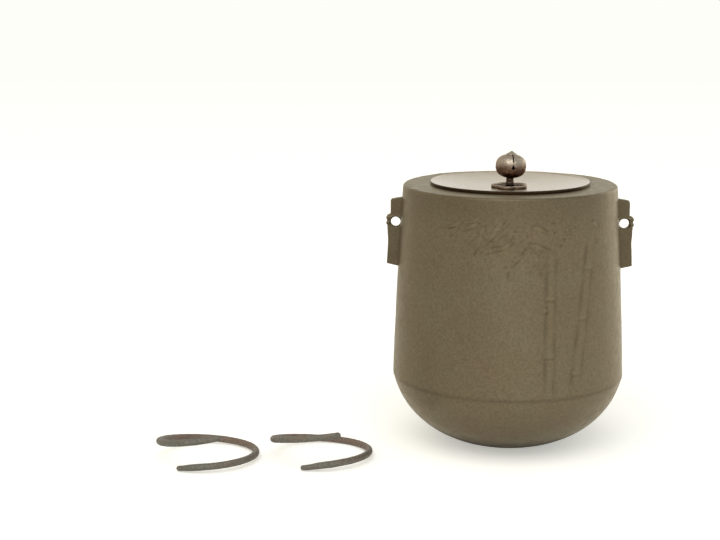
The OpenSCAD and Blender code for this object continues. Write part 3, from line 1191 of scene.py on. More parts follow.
        # Painted shade: a dark line under the corner's lip, a ring round the lid, a darker band high on the
        # wall and a darker bowl towards the bottom.
        corner = self.corner_shade * bell(z - self.corner_z + self.corner_lip / 2, self.corner_shade_w)
        corner = corner * (radius > self.corner_r - self.wall_t / 2)
        lid = bell(radius - self.lid_r, self.lid_shade_w) * (z > self.shoulder_z - self.level_slack)
        band = self.band * smooth(*self.band_z, z) * on_wall
        bowl_shade = self.bowl_shade * smooth(*self.bowl_shade_z, z)
        return np.max([corner, lid, band, bowl_shade], axis=0)

    def carve(self, piece: Piece) -> None:
        """Raises the relief on the wall, roughens the outside and marks what the finish reads.

        Args:
            piece: The spun casting.
        """
        places = Bench.points(piece)
        radius, z = np.hypot(places[:, 0], places[:, 1]), places[:, 2]
        facing_out = radius > self.wall_radius(z) - self.wall_t / 2
        on_wall = facing_out & (z > self.corner_z)
        raised, groove_and_shade = self.relief(places, on_wall)
        outer = facing_out | (z < self.floor_t / 2) | ((z < self.corner_z) & self.under_bowl(radius, z))
        top = z > self.shoulder_z - self.mouth_chamfer * self.top_chamfers
        Bench.press(piece, raised, self.relief_rise)
        Bench.press(piece, groove_and_shade, -self.relief_groove)
        for grain, depth in (self.swell, self.sand):
            Bench.roughen(piece, grain, depth, outer * 1.0)
        # Painted highlight on the raised relief; painted shade in the grooves, at the marks below and under
        # the foot.
        Bench.mark(piece, "raised", raised)
        Bench.mark(piece, "groove_and_shade", np.maximum(groove_and_shade, self.painted_shades(radius, z, on_wall)))
        Bench.mark(piece, "underside_shade", smooth(*self.underside_z, z))
        Bench.mark(piece, "inside", 1.0 * ~(outer | top))

    def under_bowl(self, radius: np.ndarray, z: np.ndarray) -> np.ndarray:
        """Tells which points lie on the bowl's outside and not on its inside.

        Args:
            radius: Radius of each point.
            z: Height of each point.

        Returns:
            True for each point on the outside.
        """
        middle = self.bowl(
            (mix(self.foot_r, self.floor_r, 0.5), self.floor_t / 2),
            (self.corner_r - self.wall_t / 2, self.corner_z),
            self.middle_steps,
        )
        line_r, line_z = np.array(middle).T
        return z < np.interp(radius, line_r, line_z)

    def build(self) -> None:
        """Spins, carves and dresses the casting."""
        turns = [(math.pi, self.front_steps), (math.pi, self.back_steps)]
        piece = Bench.spin("kettle_casting", self.outline(), turns)
        middles = np.array([face.center for face in piece.data.polygons])
        radius = np.hypot(middles[:, 0], middles[:, 1])
        arc = np.arctan2(middles[:, 0], -middles[:, 1]) * radius
        outside = radius > self.shoulder_r - self.wall_t / 2
        chosen = np.zeros(len(middles), bool)
        for left, right, low, high in (self.leaf_field, self.stalk_field):
            beside = (arc > left) & (arc < right)
            chosen |= outside & beside & (middles[:, 2] > low) & (middles[:, 2] < high)
        Bench.refine(piece, chosen)
        self.carve(piece)
        Bench.hand_over(piece, Body.KETTLE, Slot.KETTLE_IRON, self.skin, "kettle_body")


@dataclass
class Lug:
    """One bamboo-joint lug with its hole for a lifting ring."""

    side: Side
    skin: Skin
    body: KettleBody
    hole_r: float = 3.7 * MM
    hole_at: float = 86.175 * MM
    hole_z: float = 169.6 * MM
    flare: float = 0.5 * MM
    flare_y: Span = (2.2 * MM, 3 * MM)
    drill_y: float = 8 * MM
    drill_sides: int = 64
    stalk_reach: float = 3.8 * MM
    joint_reach: float = 7.1 * MM
    waist_reach: float = 5.7 * MM
    waist_at: float = 0.45
    end_reach: float = 6.6 * MM
    ring_r: float = 1.5 * MM
    ring_pitch: float = 4.2 * MM
    ring_clear: float = 1.6
    notch: float = 0.7 * MM
    joint_rise: float = 1.3 * MM
    top_slope: float = 1.3 * MM
    bottom_slope: float = 2 * MM
    corner: float = 1.4 * MM
    ridge: float = 0.7 * MM
    ridge_narrow: float = 1.4
    ridge_turn: Span = (0.6, 0.95)
    ridge_fade: Span = (0.3 * MM, 1.2 * MM)
    bore_fade: Span = (0.6 * MM, 0.2 * MM)
    bore_turn: Span = (0.9, 0.6)
    dents: Rough = (5 * MM, 0.3 * MM)
    shade: float = 0.5
    voxel: float = 0.3 * MM

    @property
    def node(self) -> str:
        """Name of the solid that the lug stands for."""
        return f"{self.side.name.lower()}_lug"

    def outline(self, low: Vector, high: Vector) -> Line:
        """Draws the lug's outline on the right side, as distance from the axis and height.

        Args:
            low: Lowest corner of the lug's solid.
            high: Highest corner of the lug's solid.

        Returns:
            The outline's points.
        """
        joint_z = self.hole_z + self.joint_rise
        stalk_x = self.hole_at + self.stalk_reach
        joint_x = self.hole_at + self.joint_reach
        bump_x = joint_x - self.ring_r
        bump_z = self.ring_pitch / 2
        root_x = min(abs(low.x), abs(high.x))
        corner = self.corner
        return [
            (root_x, low.z),
            (self.body.wall_radius(low.z), low.z),
            (self.hole_at + self.end_reach, low.z + self.bottom_slope),
            (self.hole_at + self.waist_reach, mix(joint_z, low.z, self.waist_at)),
            (bump_x + self.ring_r / 2, joint_z - bump_z - self.ring_r),
            (joint_x, joint_z - bump_z),
            (joint_x - self.notch, joint_z),
            (joint_x, joint_z + bump_z),
            (bump_x + self.ring_r / 2, joint_z + bump_z + self.ring_r),
            (stalk_x, joint_z + bump_z + self.ring_r * self.ring_clear),
            (stalk_x, high.z - self.top_slope - corner),
            (stalk_x - corner * ROUND_MIDDLE, high.z - self.top_slope - corner * ROUND_MIDDLE),
            (stalk_x - corner, high.z - self.top_slope),
            (self.body.wall_radius(high.z), high.z),
            (root_x, high.z),
        ]

    def build(self) -> None:
        """Cuts, softens and dresses the lug."""
        low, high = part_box(self.node)
        sign = self.side.value
        corners = [Vector((sign * x, low.y, z)) for x, z in self.outline(low, high)]
        piece = Bench.slab(f"{self.node}_casting", corners, Vector((0, high.y - low.y, 0)))
        Bench.cut(piece, self.drill())
        Bench.fuse(piece, self.voxel, rounds=2)
        self.ring_joint(piece)
        Bench.roughen(piece, *self.dents)
        Bench.hand_over(piece, Body.KETTLE, Slot.KETTLE_IRON, self.skin, self.node)

    def drill(self) -> Piece:
        """Makes the tool that cuts the hole, a little flared at both faces.

        Returns:
            The tool.
        """
        wide_r = self.hole_r + self.flare
        narrow_y, wide_y = self.flare_y
        line = [(0, -self.drill_y), (wide_r, -self.drill_y), (wide_r, -wide_y), (self.hole_r, -narrow_y)]
        line += [(r, -z) for r, z in line[::-1]]
        tool = Bench.spin("drill", line, [(2 * math.pi, self.drill_sides)])
        tool.rotation_euler = (math.pi / 2, 0, 0)
        tool.location = (self.side.value * self.hole_at, 0, self.hole_z)
        Bench.settle(tool)
        return tool

    def ring_joint(self, piece: Piece) -> None:
        """Raises the two rings of the joint across the lug's flat faces, paints shade on the hole's wall and
        makes the whole lug a little darker.

        Args:
            piece: The lug with its hole.
        """
        places = Bench.points(piece)
        out, z = np.abs(places[:, 0]) - self.hole_at, places[:, 2] - self.hole_z
        joint = z - self.joint_rise
        wide = self.ring_r / self.ridge_narrow
        rings = [bell(joint - side * self.ring_pitch / 2, wide) for side in (-1, 1)]
        off_hole = np.hypot(out, z) - self.hole_r
        facing = np.abs(Bench.normals(piece)[:, 1])
        clear = smooth(*self.ridge_fade, off_hole) * smooth(*self.ridge_turn, facing)
        Bench.press(piece, np.maximum(*rings) * clear, self.ridge)
        # Painted shade on the hole's wall; the whole lug is also a little darker.
        bore_shade = smooth(*self.bore_fade, off_hole) * smooth(*self.bore_turn, facing)
        Bench.mark(piece, "groove_and_shade", np.maximum(bore_shade, self.shade))


@dataclass
class LidPlate:
    """The dished bronze plate that lies on the shoulder, with a skirt under it."""

    skin: Skin
    rim_r: float = 59.8 * MM
    rim_t: float = 2.4 * MM
    rim_w: float = 1.4 * MM
    rim_step: float = 0.45 * MM
    dish_depth: float = 5.1 * MM
    dish_t: float = 2.2 * MM
    dish_flat_r: float = 14.6 * MM
    skirt_r: float = 53.3 * MM
    skirt_t: float = 2.4 * MM
    edge_round: float = 0.25 * MM
    step_w: float = 0.3 * MM
    step_soft: float = 0.2 * MM
    step_middle: float = 0.4
    edge_share: float = 0.9
    skirt_share: float = 1.1
    top_slack: float = 0.02 * MM
    under_slack: float = 0.05 * MM
    # Painted shade towards the dish's rim.
    wear: float = 0.1
    rim_shade_w: float = 9 * MM
    dents: Rough = (18 * MM, 0.12 * MM)
    dish_steps: int = 60
    under_steps: int = 40
    round_steps: int = 5
    steps: int = 288
    rim_z: float = field(init=False)
    low_z: float = field(init=False)

    def __post_init__(self) -> None:
        """Takes the plate's heights from the frame."""
        low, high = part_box("lid_plate")
        self.rim_z = high.z
        self.low_z = low.z

    def dish(self, top: float, rim_r: float, flat_r: float, drop: float, steps: int) -> Line:
        """Draws the dish's line from the rim down to its flat middle.

        Args:
            top: Height at the rim.
            rim_r: Radius at the rim.
            flat_r: Radius of the flat middle.
            drop: Depth of the dish.
            steps: Number of steps.

        Returns:
            The line's points.
        """
        points = []
        for i in range(steps + 1):
            share = i / steps
            points.append((mix(rim_r, flat_r, share), top - drop * (1 - (1 - share) ** 2)))
        return points

    def rounded(self, r: float, z: float, out: int, up: int) -> Line:
        """Draws a small round at an outer corner, from its side to its level face.

        Args:
            r: Radius of the corner.
            z: Height of the corner.
            out: 1 for a corner that faces out, -1 for one that faces in.
            up: 1 for a corner that faces up, -1 for one that faces down.

        Returns:
            The round's points.
        """
        turns = [math.pi / 2 * i / self.round_steps for i in range(self.round_steps + 1)]
        k = self.edge_round
        return [(r - out * k * (1 - math.cos(a)), z - up * k * (1 - math.sin(a))) for a in turns]

    def outline(self) -> Line:
        """Draws the plate's half outline, from its middle over the rim and back underneath.

        Returns:
            The outline's points.
        """
        under_z = self.rim_z - self.rim_t
        dish_r = self.rim_r - self.rim_w
        floor_z = self.rim_z - self.dish_depth
        step_z = self.rim_z - self.rim_step
        drop, soft = self.dish_depth - self.rim_step, self.step_soft
        dish = self.dish(step_z, dish_r - self.step_w, self.dish_flat_r, drop, self.dish_steps)
        line = [(0.0, floor_z), (self.dish_flat_r / 2, floor_z)] + dish[::-1]
        line += [(dish_r - soft, mix(step_z, self.rim_z, self.step_middle)), (dish_r, self.rim_z - soft / 2)]
        line += [(dish_r + soft, self.rim_z)]
        line += self.rounded(self.rim_r, self.rim_z, 1, 1)[::-1]
        line += self.rounded(self.rim_r, under_z, 1, -1)
        line += [(mix(self.rim_r, self.skirt_r, 0.5), under_z), (self.skirt_r, under_z)]
        line += self.rounded(self.skirt_r, self.low_z, 1, -1)
        inner = self.skirt_r - self.skirt_t
        line += self.rounded(inner, self.low_z, -1, -1)[::-1]
        shell_z = self.rim_z - self.dish_t
        shell = self.dish(shell_z, dish_r, self.dish_flat_r, self.dish_depth, self.under_steps)
        line += [point for point in shell if point[0] < inner]
        line += [(self.dish_flat_r / 2, floor_z - self.dish_t), (0.0, floor_z - self.dish_t)]
        return line

    def build(self) -> None:
        """Spins, marks and dresses the plate."""
        piece = Bench.spin("lid_dish", self.outline(), [(2 * math.pi, self.steps)])
        places = Bench.points(piece)
        radius, z = np.hypot(places[:, 0], places[:, 1]), places[:, 2]
        rim = (radius > self.rim_r - self.edge_round * self.edge_share) & (z < self.rim_z - self.top_slack)
        under = z < self.rim_z - self.rim_t + self.under_slack
        under &= radius > self.skirt_r - self.skirt_t * self.skirt_share
        # Painted shade: the dish darkens a little towards its rim.
        worn = self.wear * smooth(self.rim_shade_w, 0.0, np.abs(self.rim_r - self.rim_w - radius))
        Bench.mark(piece, "edge", np.maximum((rim | under) * 1.0, worn))
        Bench.roughen(piece, *self.dents, (radius < self.skirt_r) * 1.0)
        Bench.hand_over(piece, Body.LID, Slot.LID_BRONZE, self.skin, "lid_plate")


@dataclass
class KnobSeat:
    """The thin seat of five cupped petals between the lid and the knob."""

    skin: Skin
    petals: int = 5
    seat_r: float = 14 * MM
    petal_r: float = 6.9 * MM
    cup_r: float = 6 * MM
    cup_depth: float = 1.3 * MM
    cup_shade: float = 0.7
    shade_span: Span = (0.05, 0.6)
    level: float = 0.9
    upward: float = 0.6
    edge_round: float = 0.3 * MM
    dents: Rough = (2.5 * MM, 0.15 * MM)
    steps: int = 64
    voxel: float = 0.2 * MM

    def petal(self, bearing: float, low: float, high: float) -> Piece:
        """Makes one petal: a low drum with a soft upper edge.

        Args:
            bearing: Way from the middle to the petal.
            low: Height of its underside.
            high: Height of its top.

        Returns:
            The petal.
        """
        Bench.clear()
        bpy.ops.mesh.primitive_cylinder_add(
            vertices=self.steps,
            radius=self.petal_r,
            depth=high - low,
            location=(*self.middle(bearing), (low + high) / 2),
        )
        petal = bpy.context.object
        Bench.settle(petal)
        for face in petal.data.polygons:
            face.select = face.normal.z > self.level
        bpy.ops.object.mode_set(mode="EDIT")
        bpy.ops.mesh.select_mode(type="FACE")
        bpy.ops.mesh.bevel(offset=self.edge_round, segments=3, affect="EDGES")
        bpy.ops.mesh.select_mode(type="VERT")
        Bench.close()
        return petal

    def middle(self, bearing: float) -> tuple[float, float]:
        """Gives the middle of the petal at a bearing."""
        out = self.seat_r - self.petal_r
        return out * math.cos(bearing), out * math.sin(bearing)

    def build(self) -> None:
        """Joins the petals, sinks their cups and dresses them."""
        low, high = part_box("knob_seat")
        turns = [math.pi + 2 * math.pi * i / self.petals for i in range(self.petals)]
        piece = Bench.join("knob_seat_petals", [self.petal(turn, low.z, high.z) for turn in turns])
        Bench.fuse(piece, self.voxel, rounds=3)
        places = Bench.points(piece)
        spots = [self.middle(turn) for turn in turns]
        off = np.min([np.hypot(places[:, 0] - x, places[:, 1] - y) for x, y in spots], axis=0)
        cup = np.clip(1 - (off / self.cup_r) ** 2, 0, 1) * (Bench.normals(piece)[:, 2] > self.upward)
        Bench.press(piece, cup, -self.cup_depth, "Z")
        Bench.roughen(piece, *self.dents)
        # Painted shade in the cups.
        Bench.mark(piece, "hollow_shade", self.cup_shade * smooth(*self.shade_span, cup))
        Bench.hand_over(piece, Body.LID, Slot.KNOB_BRONZE, self.skin, "knob_seat")


@dataclass
class Knob:
    """The hammered ball knob with its crown, tip, stem and peened shank."""

    skin: Skin
    stem_r: float = 2.8 * MM
    stem_h: float = 5 * MM
    ball_r: float = 11.4 * MM
    ball_h: float = 17.8 * MM
    fullness: float = 2.4
    crown_r: float = 4 * MM
    crown_t: float = 0.7 * MM
    crown_soft: float = 0.2 * MM
    crown_top: float = 0.72
    neck_in: float = 0.5 * MM
    neck_drop: float = 0.3 * MM
    tip_r: float = 2.5 * MM
    tip_h: float = 1.9 * MM
    tip_curve: tuple[Span, ...] = ((0.6, 0.55), (0.3, 0.9))
    lean: float = math.radians(3)
    groove_turn: float = math.radians(9)
    groove_w: float = 0.9 * MM
    groove_depth: float = 0.9 * MM
    groove_top: int = 82
    groove_low: int = 22
    groove_step: int = 4
    drop_r: float = 1.15 * MM
    drop_rise: float = 0.6
    drop_open: float = math.radians(20)
    drop_h: float = 4 * MM
    drop_depth: float = 4 * MM
    shank_r: float = 1.8 * MM
    head_r: float = 4.2 * MM
    head_h: float = 1.8 * MM
    head_turns: tuple[float, ...] = (0.35, 0.7, 1.05, 1.35)
    foot_flare: float = 1.5
    mid_flare: float = 1.15
    flare_h: Span = (1.1 * MM, 2.4 * MM)
    sink: float = 1.5 * MM
    sunk_fade: Span = (0.25 * MM, 0.6 * MM)
    crease_up: Span = (-0.6, -0.4)
    hammered: Rough = (3.5 * MM, 0.5 * MM)
    pitted: Rough = (0.9 * MM, 0.2 * MM)
    low_fade: float = 3 * MM
    high_fade: float = 1.5 * MM
    ball_steps: int = 48
    ball_sides: int = 128
    shank_sides: int = 64
    drop_steps: int = 16
    voxel: float = 0.2 * MM
    seat_z: float = field(init=False)

    def __post_init__(self) -> None:
        """Takes the seat's height from the frame."""
        self.seat_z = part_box("knob_seat")[1].z

    @property
    def ball_z(self) -> float:
        """Height of the ball's middle."""
        return self.seat_z + self.stem_h + self.ball_h / 2

    def on_ball(self, a: float, sink: float = 0.0) -> tuple[float, float]:
        """Gives radius and height of a point of the ball's outline.

        Args:
            a: Angle of the point above the ball's middle.
            sink: How far the point lies under the surface.

        Returns:
            Radius and height.
        """
        power = 2 / self.fullness
        out = abs(math.cos(a)) ** power if abs(a) < math.pi / 2 - TINY else 0.0
        up = math.copysign(abs(math.sin(a)) ** power, a)
        return (self.ball_r - sink) * out, self.ball_z + (self.ball_h / 2 - sink) * up

    def ball(self) -> Piece:
        """Makes the leaning ball with its crown, tip, groove and teardrop hole.

        Returns:
            The ball.
        """
        turns = [math.pi * (i / self.ball_steps - 0.5) for i in range(self.ball_steps + 1)]
        line = [self.on_ball(a) for a in turns]
        cap = [(r, z) for r, z in line if z < self.ball_z or r > self.crown_r]
        crown_z = self.ball_z + self.ball_h / 2
        top, soft = crown_z + self.crown_t, self.crown_soft
        cap += [(self.crown_r - self.neck_in, crown_z - self.neck_drop), (self.crown_r, crown_z + soft / 2)]
        cap += [(self.crown_r - soft, top - soft), (self.crown_r * self.crown_top, top + soft / 2)]
        cap += [(self.tip_r * out, top + self.tip_h * up) for out, up in self.tip_curve]
        cap += [(0.0, top + self.tip_h)]
        piece = Bench.spin("ball", cap, [(2 * math.pi, self.ball_sides)])
        Bench.cut(piece, self.groove_tool())
        Bench.cut(piece, self.drop_tool())
        pivot = Vector((0, 0, self.seat_z + self.stem_h / 2))
        piece.location = pivot - Quaternion((0, 1, 0), self.lean) @ pivot
        piece.rotation_euler = (0, self.lean, 0)
        Bench.settle(piece)
        return piece

    def groove_tool(self) -> Piece:
        """Makes the thin blade that cuts the groove from the crown down the ball's front.

        Returns:
            The tool.
        """
        turns = [math.radians(a) for a in range(self.groove_low, self.groove_top, self.groove_step)]
        edge = [self.on_ball(a, self.groove_depth) for a in turns]
        edge += [self.on_ball(a, -MM) for a in turns[::-1]]
        corners = [Vector((-self.groove_w / 2, -r, z)) for r, z in edge]
        blade = Bench.slab("blade", corners, Vector((self.groove_w, 0, 0)))
        blade.rotation_euler = (0, 0, self.groove_turn)
        Bench.settle(blade)
        return blade

    def drop_tool(self) -> Piece:
        """Makes the teardrop that cuts the hole under the groove.

        Returns:
            The tool.
        """
        top = self.ball_z + self.drop_h * self.drop_rise
        low = self.ball_z - self.drop_h * (1 - self.drop_rise) + self.drop_r
        start = -self.ball_r - MM
        corners = [Vector((0, start, top))]
        for i in range(self.drop_steps + 1):
            a = self.drop_open - (math.pi + 2 * self.drop_open) * i / self.drop_steps
            corners.append(Vector((self.drop_r * math.cos(a), start, low + self.drop_r * math.sin(a))))
        drop = Bench.slab("drop", corners, Vector((0, self.drop_depth, 0)))
        drop.rotation_euler = (0, 0, self.groove_turn)
        Bench.settle(drop)
        return drop

    def shank(self) -> Piece:
        """Makes the stem above the seat, the shank through the lid and its peened head.

        Returns:
            The shank.
        """
        low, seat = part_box("knob")[0].z, self.seat_z
        head, top = low + self.head_h, seat + self.stem_h + self.sink
        line = [(0.0, low)]
        for a in self.head_turns:
            line.append((self.head_r * math.sin(a), low + self.head_h * (1 - math.cos(a))))
        line += [(self.head_r, head), (self.shank_r, head), (self.shank_r, seat)]
        line += [(self.stem_r * self.foot_flare, seat)]
        line += [(self.stem_r * self.mid_flare, seat + self.flare_h[0])]
        line += [(self.stem_r, seat + self.flare_h[1])]
        line += [(self.stem_r, top), (0.0, top)]
        return Bench.spin("shank", line, [(2 * math.pi, self.shank_sides)])

    def hollow_shades(self, places: np.ndarray) -> np.ndarray:
        """Tells how much painted shade the points get from how deep they lie in the groove, in the teardrop
        or under the crown.

        Args:
            places: Points of the knob.

        Returns:
            Share of the painted shade at each point.
        """
        pivot = self.seat_z + self.stem_h / 2
        x, z = places[:, 0], places[:, 2] - pivot
        upright_x = x * math.cos(self.lean) - z * math.sin(self.lean)
        upright_z = x * math.sin(self.lean) + z * math.cos(self.lean) + pivot - self.ball_z
        out = np.hypot(upright_x, places[:, 1]) / self.ball_r
        up = np.abs(upright_z) / (self.ball_h / 2)
        sunk = (1 - (out ** self.fullness + up ** self.fullness) ** (1 / self.fullness)) * self.ball_r
        on_ball = smooth(*self.crease_up, upright_z / self.ball_h * 2)
        return smooth(*self.sunk_fade, sunk) * on_ball

    def build(self) -> None:
        """Joins, hammers and dresses the knob."""
        piece = Bench.join("knob_ball", [self.ball(), self.shank()])
        Bench.fuse(piece, self.voxel, rounds=1)
        z = Bench.points(piece)[:, 2]
        low, high = self.seat_z + self.stem_h, self.ball_z + self.ball_h / 2
        hit = smooth(low, low + self.low_fade, z) * smooth(high, high - self.high_fade, z)
        for grain, depth in (self.hammered, self.pitted):
            Bench.roughen(piece, grain, depth, hit)
        Bench.mark(piece, "hollow_shade", self.hollow_shades(Bench.points(piece)))
        Bench.hand_over(piece, Body.LID, Slot.KNOB_BRONZE, self.skin, "knob")


@dataclass
class KnobWasher:
    """The back washer under the lid."""

    skin: Skin
    hole_r: float = 1.95 * MM
    edge_round: float = 0.3 * MM
    steps: int = 96

    def build(self) -> None:
        """Spins and dresses the washer."""
        low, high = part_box("knob_washer")
        r, k = high.x, self.edge_round
        mid = k * ROUND_MIDDLE
        line = [(self.hole_r, low.z), (r - k, low.z), (r - mid, low.z + mid), (r, low.z + k)]
        line += [(r, high.z - k), (r - mid, high.z - mid), (r - k, high.z), (self.hole_r, high.z)]
        line += line[:1]
        piece = Bench.spin("back_washer", line, [(2 * math.pi, self.steps)])
        Bench.hand_over(piece, Body.LID, Slot.LID_BRONZE, self.skin, "knob_washer")


@dataclass
class SingingPlates:
    """The five iron chips on the kettle's inside floor, each on its bed of lacquer."""

    chip_skin: Skin
    bed_skin: Skin
    count: int = 5
    circle_r: float = 13.5 * MM
    first: float = math.radians(90)
    length: float = 9 * MM
    width: float = 5.5 * MM
    chip_t: float = 1.6 * MM
    bed_t: float = 0.5 * MM
    bed_margin: float = 0.5 * MM
    floor_z: float = 4.2 * MM
    grain: float = 1.8 * MM
    edge_share: float = 0.3
    voxels: int = 5
    chip_ragged: float = 0.3 * MM
    bed_ragged: float = 0.1 * MM

    def block(
        self, name: str, size: tuple[float, float, float], turn: float, z: float, ragged: float
    ) -> Piece:
        """Makes one ragged block at its place on the circle.

        Args:
            name: Name of the block.
            size: Its lengths out, along and up.
            turn: Its bearing from the middle.
            z: Height of its middle.
            ragged: How far its surface wanders.

        Returns:
            The block.
        """
        Bench.clear()
        bpy.ops.mesh.primitive_cube_add(size=1)
        block = bpy.context.object
        block.name = name
        block.data.name = name
        block.scale = size
        Bench.settle(block)
        Bench.apply(block, "BEVEL", width=min(size) * self.edge_share, segments=3)
        block.location = (self.circle_r, 0, z)
        Bench.settle(block)
        block.rotation_euler = (0, 0, turn)
        Bench.settle(block)
        Bench.fuse(block, min(size) / self.voxels, rounds=2)
        Bench.roughen(block, self.grain, ragged)
        return block

    def build(self) -> None:
        """Makes and dresses the chips and their beds."""
        beds = []
        around = 2 * self.bed_margin
        bed_size = (self.width + around, self.length + around, self.bed_t)
        bed_z = self.floor_z + self.bed_t / 2
        chip_size = (self.width, self.length, self.chip_t)
        chip_z = self.floor_z + self.bed_t + self.chip_t / 2
        for i in range(self.count):
            turn = self.first + 2 * math.pi * i / self.count
            beds.append(self.block(f"bed_{i + 1}", bed_size, turn, bed_z, self.bed_ragged))
            chip = self.block(f"singing_chip_{i + 1}", chip_size, turn, chip_z, self.chip_ragged)
            Bench.hand_over(chip, Body.KETTLE, Slot.PLATE_IRON, self.chip_skin, f"singing_plate_{i + 1}")
        bed = Bench.join("lacquer_bedding", beds)
        Bench.hand_over(bed, Body.KETTLE, Slot.LACQUER, self.bed_skin, "lacquer_beds")


@dataclass
class LiftingRing:
    """One loose ring of forged iron: an open spiral that leans on the ground, slender at its tips."""

    side: Side
    skin: Skin
    middle: tuple[float, float]
    bearing: float
    sweep: float
    pitch: float
    lean: float
    bend: float
    lean_at: float = math.radians(-151)
    bend_sweep: float = 90
    ring_r: float = 35.7 * MM
    bar_r: float = 2.55 * MM
    low_tip_r: float = 1.9 * MM
    high_tip_r: float = 2.3 * MM
    low_taper: float = 28
    high_taper: float = 65
    stations: int = 260
    tip_turns: tuple[float, ...] = (0.0, 0.1, 0.3, 0.6, 1.1, 1.7, 2.4, 3.1)
    tip_end: float = 3.9
    least_round: float = 0.03
    bar_sides: int = 9
    dents: Rough = (5 * MM, 0.35 * MM)

    def climb(self, turn: float) -> float:
        """Gives the bar's height at a turn from its lower tip, before the ring is set down.

        Args:
            turn: Angle from the lower tip, in degrees.

        Returns:
            The height of the bar's middle.
        """
        bent = max(0.0, 1 - (self.sweep - turn) / self.bend_sweep) ** 2
        leant = math.cos(math.radians(turn) - self.lean_at)
        return self.pitch * turn / 360 - self.lean * leant + self.bend * bent

    def thickness(self, turn: float) -> float:
        """Gives the bar's radius at a turn from its lower tip, without the rounding of the tips.

        Args:
            turn: Angle from the lower tip, in degrees.

        Returns:
            The radius.
        """
        tip, near, taper = self.low_tip_r, turn, self.low_taper
        if turn >= self.sweep / 2:
            tip, near, taper = self.high_tip_r, self.sweep - turn, self.high_taper
        return mix(tip, self.bar_r, float(smooth(0, taper, np.array(near))))

    def rounding(self, turn: float) -> float:
        """Gives the share of its thickness that the bar keeps at a turn, for its rounded tips.

        Args:
            turn: Angle from the lower tip, in degrees.

        Returns:
            The share, 1 away from the tips.
        """
        near = min(turn, self.sweep - turn)
        run = min(1.0, math.radians(near) * self.ring_r / self.thickness(turn))
        return max(self.least_round, math.sqrt(1 - (1 - run) ** 2))

    def build(self) -> None:
        """Bends, forges and dresses the ring."""
        name = f"{self.side.name.lower()}_ring"
        curve = bpy.data.curves.new(f"{name}_bar", "CURVE")
        curve.dimensions = "3D"
        curve.bevel_depth = 1.0
        curve.bevel_resolution = self.bar_sides
        curve.use_fill_caps = True
        spline = curve.splines.new("POLY")
        last = self.sweep - self.tip_end
        turns = [mix(self.tip_end, last, i / self.stations) for i in range(self.stations + 1)]
        turns = [*self.tip_turns, *turns, *(self.sweep - turn for turn in self.tip_turns[::-1])]
        spline.points.add(len(turns) - 1)
        ground = min(self.climb(turn) for turn in turns)
        for point, turn in zip(spline.points, turns):
            a = math.radians(self.bearing + turn)
            x = self.middle[0] + self.ring_r * math.cos(a)
            y = self.middle[1] + self.ring_r * math.sin(a)
            point.co = (x, y, self.thickness(turn) + self.climb(turn) - ground, 1.0)
            point.radius = self.thickness(turn) * self.rounding(turn)
        piece = bpy.data.objects.new(f"{name}_bar", curve)
        bpy.context.scene.collection.objects.link(piece)
        Bench.pick(piece)
        bpy.ops.object.convert(target="MESH")
        piece = bpy.context.object
        bpy.ops.object.mode_set(mode="EDIT")
        Bench.close()
        Bench.roughen(piece, *self.dents)
        body_name = Body.LEFT_RING if self.side is Side.LEFT else Body.RIGHT_RING
        Bench.hand_over(piece, body_name, Slot.RING_IRON, self.skin, name)


@dataclass(frozen=True)
class Lamp:
    """One soft lamp that faces the kettle."""

    name: str
    place: tuple[float, float, float]
    size: float
    power: float
    colour: tuple[float, float, float]
    aim: tuple[float, float, float] = (0, 0, 0.1)

    def hang(self) -> None:
        """Hangs the lamp at its place."""
        data = bpy.data.lights.new(self.name, "AREA")
        data.size = self.size
        data.energy = self.power
        data.color = self.colour
        lamp = bpy.data.objects.new(self.name, data)
        bpy.context.scene.collection.objects.link(lamp)
        lamp.location = self.place
        way = Vector(self.aim) - Vector(self.place)
        lamp.rotation_euler = way.to_track_quat("-Z", "Y").to_euler()


@dataclass(frozen=True)
class Band:
    """A part of the sky, along an axis from its start to its end, with its own light.

    With a gloss it is left out for rays that show the sky, by that share for those in a reflection.
    """

    axis: str
    start: float
    end: float
    colour: Colour
    gloss: float | None = None


